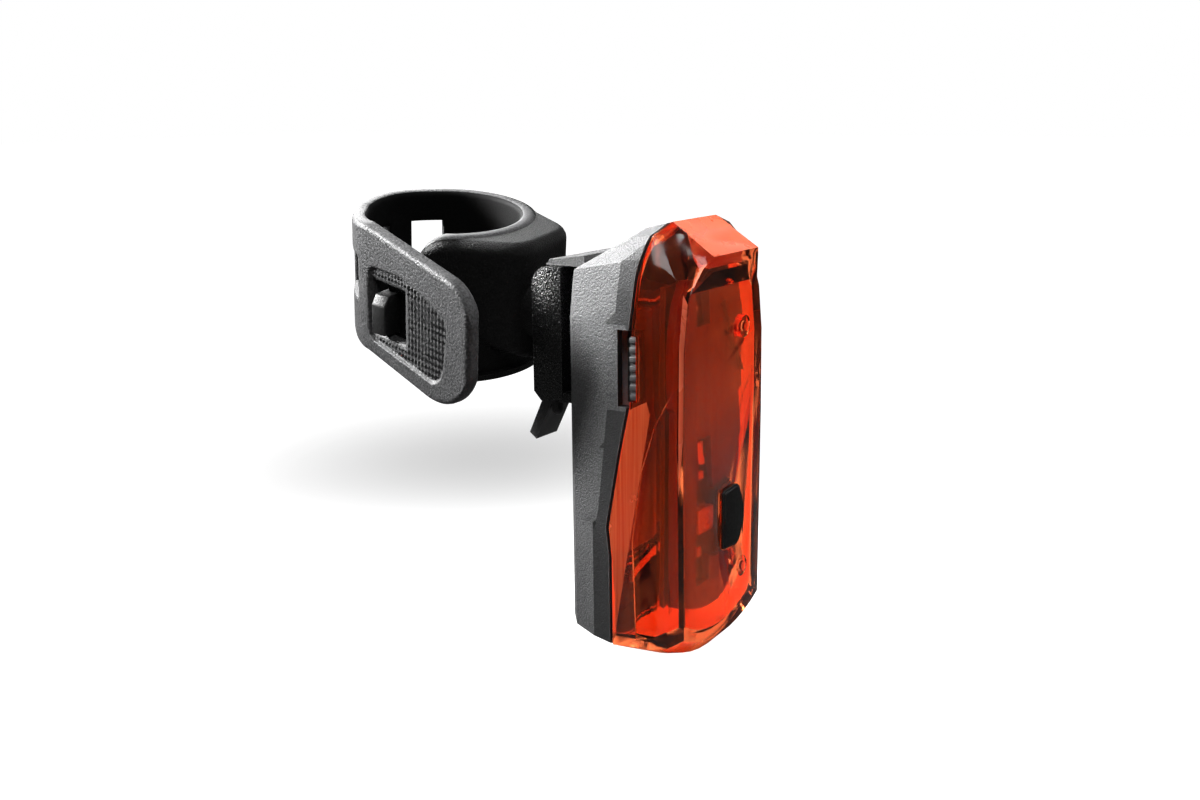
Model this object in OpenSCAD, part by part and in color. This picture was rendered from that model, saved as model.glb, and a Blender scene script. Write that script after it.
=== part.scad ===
// Battery rear light for a bicycle, on a rubber strap for a seat post.
// The frame's origin is the centre of the seat post clamp. The lens faces -Y and the head stands along +Z.

/* [Lamp head] */
// Width over the lens flange and the widest part of the rear housing
head_w = 31.4; // [30:0.2:35]
// Width of the flat front face at its lower corners
face_w = 29; // [27:0.5:29.6]
// Height from the lower corners of the front face to the roof
head_h = 72; // [70:0.5:80]
// Depth from the front face to the back of the rear housing
head_d = 23.7; // [23.2:0.1:26]
// How far the rounded bottom edge hangs below its corners
bottom_bow = 3.4; // [2:0.1:4]
// How far the brow of the lens stands in front of the face
brow_out = 2.2; // [1.5:0.1:2.6]
// Height of the roof's slope from the brow to its highest line
roof_rise = 5.5; // [4:0.1:6.5]
// Depth of the roof's slope, measured from the front face
roof_depth = 5.6; // [5:0.1:6.5]

/* [Lens and rear housing] */
// Thickness of the lens wall
lens_wall = 1.9; // [1.5:0.1:2.2]
// Thickness of the rear housing's wall
case_wall = 1.6; // [1.3:0.1:1.9]
// Depth of the lens flange at its foot, from the front face
flange_y = 14.2; // [13.6:0.1:14.8]
// Thickness of the rubber seal between lens and housing
seal_t = 0.6; // [0.4:0.1:0.8]
// Step between the lens flange and the sunk flank panel
flank_step = 0.45; // [0.3:0.05:0.6]

/* [Mode button] */
// Width of the D shaped button
button_w = 8.2; // [7:0.1:9]
// Height of the button
button_h = 11.8; // [10:0.1:13]
// Place of the button beside the middle of the face
button_x = 3.5; // [3:0.1:4]
// Height of the button's middle above the lower corners
button_z = 18; // [16:0.5:22]
// How far the button stands out of the face
button_out = 0.6; // [0.3:0.1:0.9]
// Travel of the button
button_travel = 0.8; // [0.5:0.1:0.8]

/* [Light unit] */
// Thickness of the inner carrier plate
carrier_t = 1.4; // [1:0.1:1.6]
// Thickness of the circuit board
board_t = 1; // [0.8:0.1:1.6]
// Diameter of the board screws
board_screw_d = 1.8; // [1.6:0.1:2]
// Size of the square optic in front of the main diode
optic_w = 4.4; // [4:0.1:4.6]

/* [Battery cells] */
// Diameter of one cell
cell_d = 10.4; // [10:0.1:10.5]
// Length of one cell with its button contact
cell_l = 44.2; // [43.5:0.1:44.5]
// Gap between a cell and what guides it
cell_gap = 0.25; // [0.15:0.05:0.4]
// Length of a contact spring when the cell is in
spring_l = 4.2; // [3.5:0.1:5]
// Wire diameter of the contact springs
spring_wire = 0.6; // [0.5:0.05:0.7]

/* [Side latches] */
// Height of the latch opening in each flank
latch_h = 13.4; // [12:0.1:15]
// Height of the latch opening's middle above the lower corners
latch_z = 47.5; // [46:0.5:49]
// Travel of a latch when it is pressed in
latch_travel = 0.8; // [0.5:0.1:0.9]

/* [Clip bracket] */
// Width of the clip bracket
clip_w = 22; // [21:0.5:24]
// Thickness of the clip bracket from front to back
clip_t = 6.2; // [6:0.1:7]
// Height of the clip bracket
clip_h = 24.6; // [23:0.1:26]
// Height of the bracket's foot above the lower corners of the face
clip_z = 38.8; // [38:0.1:40]
// Gap between the rear housing and the bracket
clip_gap = 3.4; // [3:0.1:4]
// Width over the head of the T shaped rail
rail_w = 16; // [14:0.2:17]
// Sliding clearance between rail and bracket
rail_clear = 0.15; // [0.1:0.01:0.2]
// Width of the release lever
lever_w = 7; // [6:0.1:8]
// Thickness of the release lever
lever_t = 1.8; // [1.5:0.1:2]

/* [Swivel] */
// Turn of the strap against the head about the swivel
roll = 8; // [0:1:14]
// Lean of the seat post towards the lens
lean = 9; // [5:1:12]
// Height of the swivel below the middle of the clamp
swivel_drop = 4.7; // [3:0.1:6]
// Diameter of the swivel boss
boss_d = 15; // [13:0.5:16]
// Length of the swivel boss in front of the saddle block
boss_l = 2.1; // [1.6:0.1:3]
// Diameter of the swivel bolt
bolt_d = 3; // [2.5:0.5:4]

/* [Strap] */
// Diameter of the seat post
post_d = 27.2; // [26:0.2:28]
// Clearance of the strap round the post
post_clear = 0.1; // [0.05:0.05:0.2]
// Thickness of the strap
strap_t = 3; // [2.6:0.1:3.2]
// Width of the strap
strap_w = 19.9; // [19:0.1:20]
// Height of the liner inside the saddle block
liner_h = 27.6; // [26:0.2:28.6]
// Reach of the saddle block from the post's axis
block_reach = 23.8; // [23:0.1:24.2]
// Width of a strap slot
slot_w = 7; // [6:0.1:7.6]
// Height of a strap slot
slot_h = 7.4; // [6:0.1:8]
// Width of the hook peg
peg_w = 3.2; // [2.8:0.1:3.8]
// Height of the hook peg
peg_h = 8; // [6:0.1:8.4]
// Length of the straight pull tab
tab_l = 28.9; // [26:0.1:30]
// Width of the pull tab at its root
tab_w = 25; // [23:0.5:26]

/* [Hidden] */
$fn = 48;

tiny = 0.01;
fit = 0.05;
over = 60;

// Places in the head's own frame: X across, Y back from the front face, Z up from the face's lower corners
half_w = head_w / 2;
half_face = face_w / 2;
roof_z = head_h;
brow_z = roof_z - roof_rise;
brow_half = 8.4;
roof_half = 7.8;
shoulder_z = roof_z - 11;
back_corner = 1.3;

// The swivel axis is at the bracket's height, and the head hangs on it
swivel_x = swivel_drop * sin(roll);
swivel_z = -swivel_drop * cos(roll);
swivel_up = clip_z + 16.2;

// Light unit, from the front face backwards
carrier_y = lens_wall + 1.3;
board_y = carrier_y + carrier_t + 0.9;
led_x = -3.8;
led_z = 18.9;
standby_z = 57;
chip_z = 31;
screw_x = 9.2;
screw_zs = [6.5, 52];
pillar_d = 4;
switch_front = board_y - 1.7;

// Battery bay
cell_r = cell_d / 2;
cell_x = cell_r + 0.35;
cell_y = head_d - case_wall - cell_gap - cell_r;
plate_t = 0.4;
bay_z = 8.2;
cell_z = bay_z + plate_t + spring_l;
bay_top = cell_z + cell_l + plate_t + fit;
rib_t = 1.4;

// Latches
latch_y = flange_y - 5.4;
latch_tab_t = 1.4;
notch_back = flange_y - 1.8;

// Clip bracket and rail
clip_y = head_d + clip_gap;
clip_back = clip_y + clip_t;
clip_top = clip_z + clip_h;
jaw_t = 1.7;
rail_neck = rail_w - 6;
rail_head_t = 2.3;
rail_y = clip_y + jaw_t + rail_clear;
rail_back = rail_y + rail_head_t;
rail_foot = clip_z + 2;
lever_y = clip_back + 0.8;
lever_pivot_z = clip_z + 1.6;
lever_pin_d = 1.6;
disc_t = 0.8;
disc_y = clip_back + 0.4 + fit;
boss_front = disc_y + disc_t + fit;
insert_y = clip_back + 3.8;
insert_l = 4;

// Head, bracket, disc, boss and saddle block lie one behind the other, up to the post's axis
post_y = boss_front + boss_l + block_reach;
head_at = [swivel_x, -post_y, swivel_z - swivel_up];

// Strap
bore_r = post_d / 2 + post_clear;
band_r = bore_r + strap_t;
tab_r = band_r + 0.35;
tab_t = strap_t;
band_z = 2.3;
liner_top = 12.5;
liner_bottom = liner_top - liner_h;
block_top = 11.8;
arm_start = 172;
liner_end = 332;
bulge_start = 404;
spiral_start = 486;
straight_at = 528;
split_at = 519.5;
tab_from = 520.2;
tab_top = tab_w / 2 + 0.8;
tab_bottom = -tab_w / 2 + 0.8;
peg_at = 180;
peg_mid = -3.2;
slot_degrees = [55, 101, 146];
peg_tip = tab_r + tab_t + 1.6;

// Points of an arc that hangs below z between -half and +half
function bow(half, z, sag, n = 10) =
    let (r = (half * half + sag * sag) / (2 * sag), a = asin(half / r))
    [for (i = [0:n]) let (t = -a + 2 * a * i / n) [r * sin(t), z - sag + r - r * cos(t)]];

function mirrored(side) = [for (i = [len(side) - 1:-1:0]) [-side[i][0], side[i][1]]];

// Closed outline of the head seen from the front: a bowed bottom, then the points up the right side
function outline(half, z, sag, side) = concat(bow(half, z, sag), side, mirrored(side));

module slab(y, points) {
    translate([0, y + tiny, 0])
        rotate([90, 0, 0])
            linear_extrude(tiny)
                polygon(points);
}

// A slab that leans forwards as it rises, so that the crease behind it follows the parting line
module leaning_slab(y, z, slope, points) {
    multmatrix([[1, 0, 0, 0], [0, 1, -slope, y + slope * z], [0, 0, 1, 0], [0, 0, 0, 1]])
        slab(0, points);
}

// A profile in Y and Z, drawn out along X from x0 to x1
module along_x(points, x0, x1) {
    translate([x0, 0, 0])
        rotate([90, 0, 90])
            linear_extrude(x1 - x0)
                polygon(points);
}

// A profile in X and Z, drawn out along Y from y0 to y1
module along_y(y0, y1) {
    translate([0, y1, 0])
        rotate([90, 0, 0])
            linear_extrude(y1 - y0)
                children();
}

// The closed outer form of the head, moved inwards by i
module head_form(i) {
    sag = bottom_bow;
    deep = bottom_bow + 1;
    hull() {
        slab(i, outline(half_face - i, i, sag,
            [[half_face + 0.5 - i, 36], [half_face + 0.3 - i, shoulder_z - 10],
             [half_face - 1 - i, shoulder_z - 2], [10.5 - i, brow_z - 1.8 - i]]));
        slab(i + 3, outline(half_w - 0.5 - i, i - 1.9, deep,
            [[half_w - 0.1 - i, 38], [half_w - 0.3 - i, shoulder_z - 6],
             [half_w - 1.3 - i, shoulder_z + 1], [11.2 - i, roof_z - 3.6 - i],
             [roof_half + 0.3 - i, roof_z - 1.9 - 1.2 * i]]));
        slab(roof_depth + 0.4, outline(half_w - 0.2 - i, i - 2.6, deep,
            [[half_w - i, 40], [half_w - 0.1 - i, shoulder_z + 1],
             [13.2 - i, roof_z - 1.7 - i], [roof_half - i, roof_z - 1.2 * i]]));
        slab(flange_y - 0.4, outline(half_w - i, i - 3.2, sag,
            [[half_w - i, 22]]));
        leaning_slab(flange_y - 1.8, 60, 0.11, [[half_w - i, 22], [half_w - i, shoulder_z - 1],
            [half_w - 0.4 - i, shoulder_z + 4.6], [12.8 - i, roof_z - 2.6 - i],
            [roof_half - i, roof_z - 1.3 - 1.2 * i], [-roof_half + i, roof_z - 1.3 - 1.2 * i],
            [-12.8 + i, roof_z - 2.6 - i], [-half_w + 0.4 + i, shoulder_z + 4.6],
            [-half_w + i, shoulder_z - 1], [-half_w + i, 22]]);
        slab(head_d - back_corner - i, outline(half_w - 1.3 - i, i - 1.4, sag,
            [[half_w - 1.3 - i, shoulder_z - 5], [half_w - 2.2 - i, roof_z - 8.4 - i],
             [7 - i, roof_z - 7.4 - i]]));
        slab(head_d - i - tiny, outline(half_w - 2.6 - i, i - 0.1, sag,
            [[half_w - 2.6 - i, shoulder_z - 6], [half_w - 3.6 - i, roof_z - 10.8 - i],
             [6 - i, roof_z - 10 - i]]));
    }
}

// The brow that stands in front of the face and carries the roof forwards
module brow_form(i) {
    hull() {
        slab(i, [[-12.6 + i, shoulder_z - 0.5], [12.6 - i, shoulder_z - 0.5],
            [10.5 - i, brow_z - 1.8 - i], [-10.5 + i, brow_z - 1.8 - i]]);
        slab(i - brow_out + 1, [[-10.4 + i, brow_z - 1.9], [10.4 - i, brow_z - 1.9],
            [9.6 - i, brow_z - 0.9 - i], [-9.6 + i, brow_z - 0.9 - i]]);
        slab(i - brow_out, [[-brow_half + i, brow_z - 0.8 - i], [brow_half - i, brow_z - 0.8 - i],
            [brow_half - i, brow_z - i], [-brow_half + i, brow_z - i]]);
        slab(roof_depth + 0.4, [[-roof_half + i, shoulder_z], [roof_half - i, shoulder_z],
            [roof_half - i, roof_z - 1.2 * i], [-roof_half + i, roof_z - 1.2 * i]]);
    }
}

module shell_form(i) {
    head_form(i);
    brow_form(i);
}

// The parting line between lens and rear housing, in Y and Z, moved back by o
function parting(o) = [for (p = [[flange_y, -20], [flange_y, 13], [flange_y + 0.6, 18.7],
    [flange_y - 2.1, 33], [flange_y - 3.9, 41], [flange_y - 4.4, 54.6],
    [flange_y - 6, 66], [flange_y - 7.4, 71], [flange_y - 7.8, 76]]) [p[0] + o, p[1]]];

module front_of_parting(o) {
    along_x(concat(parting(o), [[-over, 76], [-over, -20]]), -over, over);
}

module back_of_parting(o) {
    along_x(concat(parting(o), [[over, 76], [over, -20]]), -over, over);
}

// The button is straight on its left side and bulges to the right
module button_outline(grow) {
    left = 0.9;
    bulge = button_h * 0.64;
    w = button_w / 2;
    h = button_h / 2;
    translate([button_x, button_z])
        offset(r = grow)
            hull() {
                for (s = [-1, 1]) {
                    translate([-w + left, s * (h - left - 0.3)])
                        circle(left, $fn = 24);
                    translate([w - 3.4, s * (h - 2.2)])
                        circle(2.2, $fn = 32);
                }
                intersection() {
                    translate([w - bulge, 0])
                        circle(bulge, $fn = 64);
                    translate([0, -3.2])
                        square([w, 6.4]);
                }
            }
}

module at_screws() {
    for (z = screw_zs) {
        translate([screw_x, 0, z])
            rotate([-90, 0, 0])
                children();
    }
}

// The sunk panel on each flank of the lens, in front of the flange
module flank_panels() {
    points = [[1, 0.4], [flange_y - 5, -1.2], [flange_y - 4.4, 17], [flange_y - 6.4, 30],
        [flange_y - 9, 38], [flange_y - 12.2, 44], [1, 44]];
    for (s = [-1, 1]) {
        along_x(points, s > 0 ? half_w - flank_step : -half_w - 2, s > 0 ? half_w + 2 : -half_w + flank_step);
    }
}

module latch_pockets(y0, y1, z_gap) {
    for (s = [-1, 1]) {
        translate([s * half_w, (y0 + y1) / 2, latch_z])
            cube([8, y1 - y0, latch_h + 2 * z_gap], center = true);
    }
}

module lens() {
    color([0.82, 0.16, 0.08])
        translate(head_at)
            difference() {
                union() {
                    difference() {
                        intersection() {
                            shell_form(0);
                            front_of_parting(-seal_t / 2);
                        }
                        shell_form(lens_wall);
                        flank_panels();
                        latch_pockets(latch_y - fit, flange_y, -1);
                    }
                    at_screws()
                        translate([0, 0, lens_wall - 0.3])
                            cylinder(d = pillar_d, h = carrier_y - lens_wall + 0.3 - fit);
                }
                along_y(-over, lens_wall + 2)
                    button_outline(0.12);
                at_screws()
                    translate([0, 0, 1])
                        cylinder(d = board_screw_d + 2 * fit, h = over);
            }
}

module housing_seal() {
    color([0.03, 0.03, 0.03])
        translate(head_at)
            difference() {
                intersection() {
                    shell_form(0.35);
                    front_of_parting(seal_t / 2 - fit);
                    back_of_parting(-seal_t / 2 + fit);
                }
                head_form(case_wall);
                latch_pockets(latch_y - 2, notch_back + 2, 0.1);
            }
}

// Ledges and cradle walls that hold the cells and their contacts
module battery_bay() {
    for (z = [bay_z - rib_t, bay_top]) {
        translate([-cell_x - cell_r, cell_y - 3, z])
            cube([2 * (cell_x + cell_r), head_d - cell_y + 2.6, rib_t]);
    }
    translate([-0.3, cell_y + 1.5, bay_z])
        cube([0.6, head_d - cell_y - 2, cell_z + cell_l - 1 - bay_z]);
}

module rail() {
    neck = rail_neck / 2;
    translate([-neck, head_d - 1, rail_foot])
        cube([2 * neck, rail_back - head_d + 1, clip_top - rail_foot + 1]);
    translate([-rail_w / 2, rail_y, rail_foot])
        cube([rail_w, rail_head_t, clip_top - rail_foot + 1]);
    cap = [[head_d - 1, clip_top + rail_clear], [clip_back - 2.4, clip_top + rail_clear],
        [clip_back - 3.2, clip_top + 1.2], [head_d - 1, clip_top + 2.2]];
    along_x(cap, -clip_w / 2 + 1.2, clip_w / 2 - 1.2);
}

module rear_housing() {
    color([0.27, 0.27, 0.28])
        translate(head_at)
            difference() {
                union() {
                    difference() {
                        intersection() {
                            head_form(0);
                            back_of_parting(seal_t / 2);
                        }
                        head_form(case_wall);
                    }
                    intersection() {
                        battery_bay();
                        head_form(0.5);
                    }
                    rail();
                }
                latch_pockets(latch_y - 1, notch_back, 0);
            }
}

module inner_carrier() {
    edge = lens_wall + 0.5;
    wide = half_face - edge;
    shape = concat(bow(wide - 1.6, edge + 2, 2.4), [[wide - 1.4, 40], [wide, 41], [wide, shoulder_z - 10],
        [wide - 1.2, shoulder_z - 3], [8, brow_z - 4.6]], [[-8, brow_z - 4.6], [-wide + 1.2, shoulder_z - 3],
        [-wide, shoulder_z - 10], [-wide, 41], [-wide + 1.4, 40]]);
    rib = [[2.5, 57], [3.5, 57.6], [11.2, 44.4], [10.2, 43.8]];
    color([0.34, 0.06, 0.04])
        translate(head_at)
            difference() {
                union() {
                    along_y(carrier_y, carrier_y + carrier_t)
                        polygon(shape);
                    along_y(carrier_y - 0.7, carrier_y + 0.2)
                        polygon(rib);
                    at_screws()
                        translate([0, 0, carrier_y + 0.2])
                            cylinder(d = pillar_d, h = board_y - carrier_y - 0.2 - fit);
                }
                along_y(carrier_y - 2, carrier_y + carrier_t + 2)
                    button_outline(1.4);
                translate([led_x - optic_w / 2 - 0.2, 0, 7])
                    cube([optic_w + 0.4, 20, 27]);
                translate([led_x - 2.4, 0, standby_z - 3])
                    cube([4.8, 20, 6]);
                at_screws()
                    cylinder(d = board_screw_d + 2 * fit, h = over);
            }
}

module circuit_board() {
    color([0.1, 0.3, 0.16])
        translate(head_at)
            difference() {
                translate([-10.8, board_y, 3.6])
                    cube([21.6, board_t, 57.6]);
                at_screws()
                    cylinder(d = board_screw_d + 2 * fit, h = over);
            }
}

// A diode: its square base on the board and its dome
module led(x, z, w, dome) {
    translate([x - w / 2, board_y - 0.7, z - w / 2])
        cube([w, 0.7 - 0.01, w]);
    translate([x, board_y - 0.7, z])
        intersection() {
            sphere(dome);
            translate([-over, -over, -over])
                cube([2 * over, over + 0.2, 2 * over]);
        }
}

module main_led() {
    color([0.95, 0.9, 0.7])
        translate(head_at)
            led(led_x, led_z, 3.2, 1.2);
}

module standby_led() {
    color([0.95, 0.9, 0.7])
        translate(head_at)
            led(led_x, standby_z, 2, 0.7);
}

// Square moulded optic over the main diode, with a stepped front and four short legs
module led_optic() {
    front = lens_wall + 0.35;
    back = board_y - 2.1;
    w = optic_w / 2;
    color([0.9, 0.9, 0.88])
        translate(head_at + [led_x, 0, led_z])
            difference() {
                union() {
                    translate([-w, front + 0.6, -w])
                        cube([optic_w, back - front - 0.6, optic_w]);
                    translate([0, front + 0.7, 0])
                        rotate([90, 0, 0])
                            cylinder(d1 = optic_w - 0.4, d2 = optic_w - 1.4, h = 0.7, $fn = 64);
                    for (x = [-1, 1], z = [-1, 1]) {
                        translate([x * (w - 0.3) - 0.3, back - 0.4, z * (w - 0.3) - 0.3])
                            cube([0.6, board_y - back + 0.4 - 0.01, 0.6]);
                    }
                }
                translate([0, front - 0.1, 0])
                    rotate([-90, 0, 0])
                        cylinder(d1 = 1.8, d2 = 1.4, h = 0.5, $fn = 32);
            }
}

module board_components() {
    places = [[-3.8, chip_z, 4, 4, 0.9], [-3.8, 26.6, 3, 1.4, 0.6], [-6, 11.9, 1.2, 1.8, 0.5],
        [-3.8, 11.9, 1.2, 1.8, 0.5], [-1.6, 11.9, 1.2, 1.8, 0.5], [-4.6, 8.2, 2.6, 1.3, 0.8],
        [7.6, chip_z, 3.4, 2, 0.5], [7.6, 36, 2, 1.2, 0.5]];
    color([0.1, 0.1, 0.1])
        translate(head_at)
            for (p = places) {
                translate([p[0] - p[2] / 2, board_y - p[4], p[1] - p[3] / 2])
                    cube([p[2], p[4] - 0.01, p[3]]);
            }
}

module tactile_switch() {
    color([0.2, 0.2, 0.2])
        translate(head_at + [button_x, 0, button_z]) {
            difference() {
                translate([-2.6, switch_front + 0.5, -2.6])
                    cube([5.2, board_y - switch_front - 0.5 - 0.01, 5.2]);
                for (z = [-3, 3]) {
                    translate([-over, switch_front - 1, z - 0.8])
                        cube([2 * over, 1.9, 1.6]);
                }
            }
            translate([0, switch_front + 0.7, 0])
                rotate([90, 0, 0])
                    cylinder(d = 2.4, h = 0.7);
        }
}

module board_screws() {
    color([0.7, 0.7, 0.7])
        translate(head_at)
            at_screws()
                difference() {
                    union() {
                        translate([0, 0, 1.4])
                            cylinder(d = board_screw_d, h = board_y + board_t - 1.4);
                        translate([0, 0, board_y + board_t])
                            cylinder(d = board_screw_d + 1.6, h = 1);
                    }
                    translate([-0.25, -1, board_y + board_t + 0.6])
                        cube([0.5, 2, 1]);
                    translate([-1, -0.25, board_y + board_t + 0.6])
                        cube([2, 0.5, 1]);
                }
}

// Rubber cap: a D shaped head through the lens, a lip behind the wall and a plunger for the switch
module mode_button() {
    color([0.05, 0.05, 0.05])
        translate(head_at)
            union() {
                along_y(-button_out, -button_out + 0.5)
                    button_outline(-0.5);
                along_y(-button_out + 0.3, lens_wall + 0.4)
                    button_outline(-0.06);
                along_y(lens_wall + 0.08, lens_wall + 0.8)
                    button_outline(0.7);
                translate([button_x, lens_wall + 0.6, button_z])
                    rotate([-90, 0, 0])
                        cylinder(d = 3, h = switch_front - button_travel - 0.06 - lens_wall - 0.6);
            }
}

// One cell standing on its flat end, with the contact button on top
module cell() {
    cylinder(d = cell_d, h = cell_l - 0.8);
    translate([0, 0, cell_l - 0.9])
        cylinder(d = 3.8, h = 0.9);
}

module battery_cell_left() {
    color([0.75, 0.75, 0.78])
        translate(head_at + [-cell_x, cell_y, cell_z])
            cell();
}

module battery_cell_right() {
    color([0.75, 0.75, 0.78])
        translate(head_at + [cell_x, cell_y, cell_z])
            cell();
}

// Faces of a closed tube of n rings with k points each
function tube_faces(n, k) = concat(
    [for (i = [0:n - 2], j = [0:k - 1]) [i * k + j, i * k + (j + 1) % k, (i + 1) * k + (j + 1) % k]],
    [for (i = [0:n - 2], j = [0:k - 1]) [i * k + j, (i + 1) * k + (j + 1) % k, (i + 1) * k + j]],
    [[for (j = [k - 1:-1:0]) j]], [[for (j = [0:k - 1]) (n - 1) * k + j]]);

// A coil spring that narrows upwards, as contact springs do
module coil(r0, r1, h, turns, wire) {
    per_turn = 12;
    n = turns * per_turn + 1;
    k = 6;
    rings = [for (i = [0:n - 1], j = [0:k - 1])
        let (a = 360 * i / per_turn, t = i / (n - 1), r = r0 + (r1 - r0) * t, b = 360 * j / k,
            rr = r + wire / 2 * cos(b))
        [rr * cos(a), rr * sin(a), wire / 2 + (h - wire) * t + wire / 2 * sin(b)]];
    polyhedron(rings, tube_faces(n, k), convexity = 10);
}

module contact_springs() {
    color([0.8, 0.78, 0.7])
        translate(head_at)
            for (s = [-1, 1]) {
                translate([s * cell_x, cell_y, bay_z + plate_t + 0.02])
                    coil(3.6, 2.2, spring_l - 0.04, 3, spring_wire);
            }
}

module contact_plates() {
    color([0.8, 0.78, 0.7])
        translate(head_at) {
            for (s = [-1, 1]) {
                translate([s * cell_x - 4.4, cell_y - 3, bay_z + 0.01])
                    cube([8.8, 7.6, plate_t]);
                translate([s * cell_x - 4.4, cell_y - 3 - plate_t - 0.02, bay_z - rib_t])
                    cube([8.8, plate_t, rib_t + plate_t + 0.01]);
            }
            translate([-cell_x - 4.4, cell_y - 3, cell_z + cell_l + 0.03])
                cube([2 * cell_x + 8.8, 7.6, plate_t]);
        }
}

// Latch: a ribbed thumb tab at the edge of the lens and a foot behind the opening
module latch(s) {
    tab_h = latch_h - 2.4;
    outer = half_w - 0.35;
    foot_x = half_w - 3.2;
    mirror([s < 0 ? 1 : 0, 0, 0]) {
        translate([foot_x, latch_y, latch_z - tab_h / 2])
            cube([outer - foot_x - 0.35, latch_tab_t, tab_h]);
        for (i = [0:6]) {
            translate([outer - 0.8, latch_y, latch_z - tab_h / 2 + 0.15 + i * (tab_h - 1.2) / 6])
                cube([0.8, latch_tab_t, 0.9]);
        }
        translate([foot_x - 1, latch_y, latch_z - latch_h / 2 + 0.3])
            cube([1.2, notch_back - latch_y - 0.2, latch_h - 0.6]);
    }
}

module latch_left() {
    color([0.2, 0.2, 0.2])
        translate(head_at)
            latch(-1);
}

module latch_right() {
    color([0.2, 0.2, 0.2])
        translate(head_at)
            latch(1);
}

module clip_bracket() {
    w = clip_w / 2;
    round_r = 3.4;
    slot_half = rail_w / 2 + rail_clear;
    neck_half = rail_neck / 2 + rail_clear;
    side = concat([[clip_y, clip_z + 0.6], [clip_back - 1.6, clip_z], [clip_back, clip_z + 1.7]],
        [for (a = [0:15:90]) [clip_back - round_r + round_r * cos(a), clip_top - round_r + round_r * sin(a)]],
        [[clip_y, clip_top]]);
    color([0.05, 0.05, 0.05])
        translate(head_at)
            difference() {
                union() {
                    along_x(side, -w, w);
                    along_x([[head_d + rail_clear, clip_z + 0.2], [clip_y + 1, clip_z], [clip_y + 1, rail_foot - 0.2],
                        [head_d + rail_clear, rail_foot - 0.4]], -w + 0.4, w - 0.4);
                    translate([0, clip_back - 0.5, swivel_up])
                        rotate([-90, 0, 0])
                            cylinder(d = boss_d, h = 0.5 + 0.4);
                    for (s = [-1, 1]) {
                        translate([s * (lever_w / 2 + 1) - 0.8, clip_back - 0.5, clip_z + 0.2])
                            cube([1.6, 2.9, 2.8]);
                    }
                }
                translate([-slot_half, clip_y + jaw_t, rail_foot - 0.1])
                    cube([2 * slot_half, rail_head_t + 2 * rail_clear, over]);
                translate([-neck_half, clip_y - 1, rail_foot - 0.1])
                    cube([2 * neck_half, jaw_t + 2, over]);
                translate([0, 0, swivel_up])
                    rotate([-90, 0, 0]) {
                        cylinder(d = bolt_d + 0.2, h = over);
                        cylinder(d = bolt_d + 3.2, h = rail_back + 1 + rail_clear);
                    }
                translate([0, clip_back + 1.7, lever_pivot_z])
                    rotate([0, 90, 0])
                        cylinder(d = lever_pin_d + 0.1, h = over, center = true);
                translate([-lever_w / 2 + 1.4, rail_back, rail_foot + 1.2])
                    cube([lever_w - 2.8, 8, 4.2]);
            }
}

module release_lever() {
    y = lever_y;
    foot = clip_z - 0.4;
    blade = [[y, foot + 7.4], [y + lever_t, foot + 7.4], [y + lever_t, foot + 0.4],
        [y + lever_t + 3.9, foot - 8.1], [y + lever_t + 2.4, foot - 9.3], [y, foot - 0.8]];
    nose = [[y + 0.3, rail_foot + 5], [rail_back + 0.12, rail_foot + 4.2], [rail_back + 0.12, rail_foot + 3],
        [y + 0.3, rail_foot + 2.2]];
    color([0.07, 0.07, 0.07])
        translate(head_at)
            difference() {
                union() {
                    along_x(blade, -lever_w / 2, lever_w / 2);
                    along_x(nose, -lever_w / 2 + 1.6, lever_w / 2 - 1.6);
                    translate([-lever_w / 2 + 1.2, y - 0.1, foot - 3.2])
                        cylinder(d = 2.2, h = 4);
                    translate([-lever_w / 2 + 1.2, y - 0.1, foot - 3.2])
                        sphere(d = 2.2);
                }
                translate([0, clip_back + 1.7, lever_pivot_z])
                    rotate([0, 90, 0])
                        cylinder(d = lever_pin_d + 0.1, h = over, center = true);
            }
}

module lever_pin() {
    color([0.7, 0.7, 0.7])
        translate(head_at + [0, clip_back + 1.7, lever_pivot_z])
            rotate([0, 90, 0])
                cylinder(d = lever_pin_d, h = lever_w + 3.4, center = true);
}

// Friction disc between the bracket and the boss of the saddle block
module swivel_disc() {
    color([0.75, 0.75, 0.75])
        translate(head_at + [0, disc_y, swivel_up])
            rotate([-90, 0, 0])
                difference() {
                    cylinder(d = boss_d - 1, h = disc_t);
                    translate([0, 0, -1])
                        cylinder(d = bolt_d + 0.2, h = disc_t + 2);
                }
}

module swivel_bolt() {
    color([0.7, 0.7, 0.7])
        translate(head_at + [0, 0, swivel_up])
            rotate([-90, 0, 0])
                difference() {
                    union() {
                        translate([0, 0, rail_back + rail_clear + 0.1])
                            cylinder(d = bolt_d + 2.6, h = 0.85);
                        translate([0, 0, rail_back + rail_clear + 0.5])
                            cylinder(d = bolt_d, h = insert_y + insert_l - rail_back - rail_clear - 0.5);
                    }
                    translate([0, 0, rail_back - 1])
                        cylinder(d = 1.6, h = 1.9, $fn = 6);
                }
}

module swivel_insert() {
    color([0.8, 0.65, 0.3])
        translate(head_at + [0, insert_y, swivel_up])
            rotate([-90, 0, 0])
                difference() {
                    cylinder(d = bolt_d + 3.4, h = insert_l - 0.2);
                    translate([0, 0, -1])
                        cylinder(d = bolt_d + 2 * fit, h = insert_l + 2);
                }
}

// The strap's own frame: its Z is the post's axis, which leans and is turned about the swivel
module in_strap() {
    rotate([lean, -roll, 0])
        children();
}

module block_outline(r, tip_r) {
    hull() {
        circle(r, $fn = 96);
        for (s = [-1, 1]) {
            translate([s * 3.4, -block_reach + tip_r])
                circle(tip_r, $fn = 48);
        }
    }
}

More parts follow.
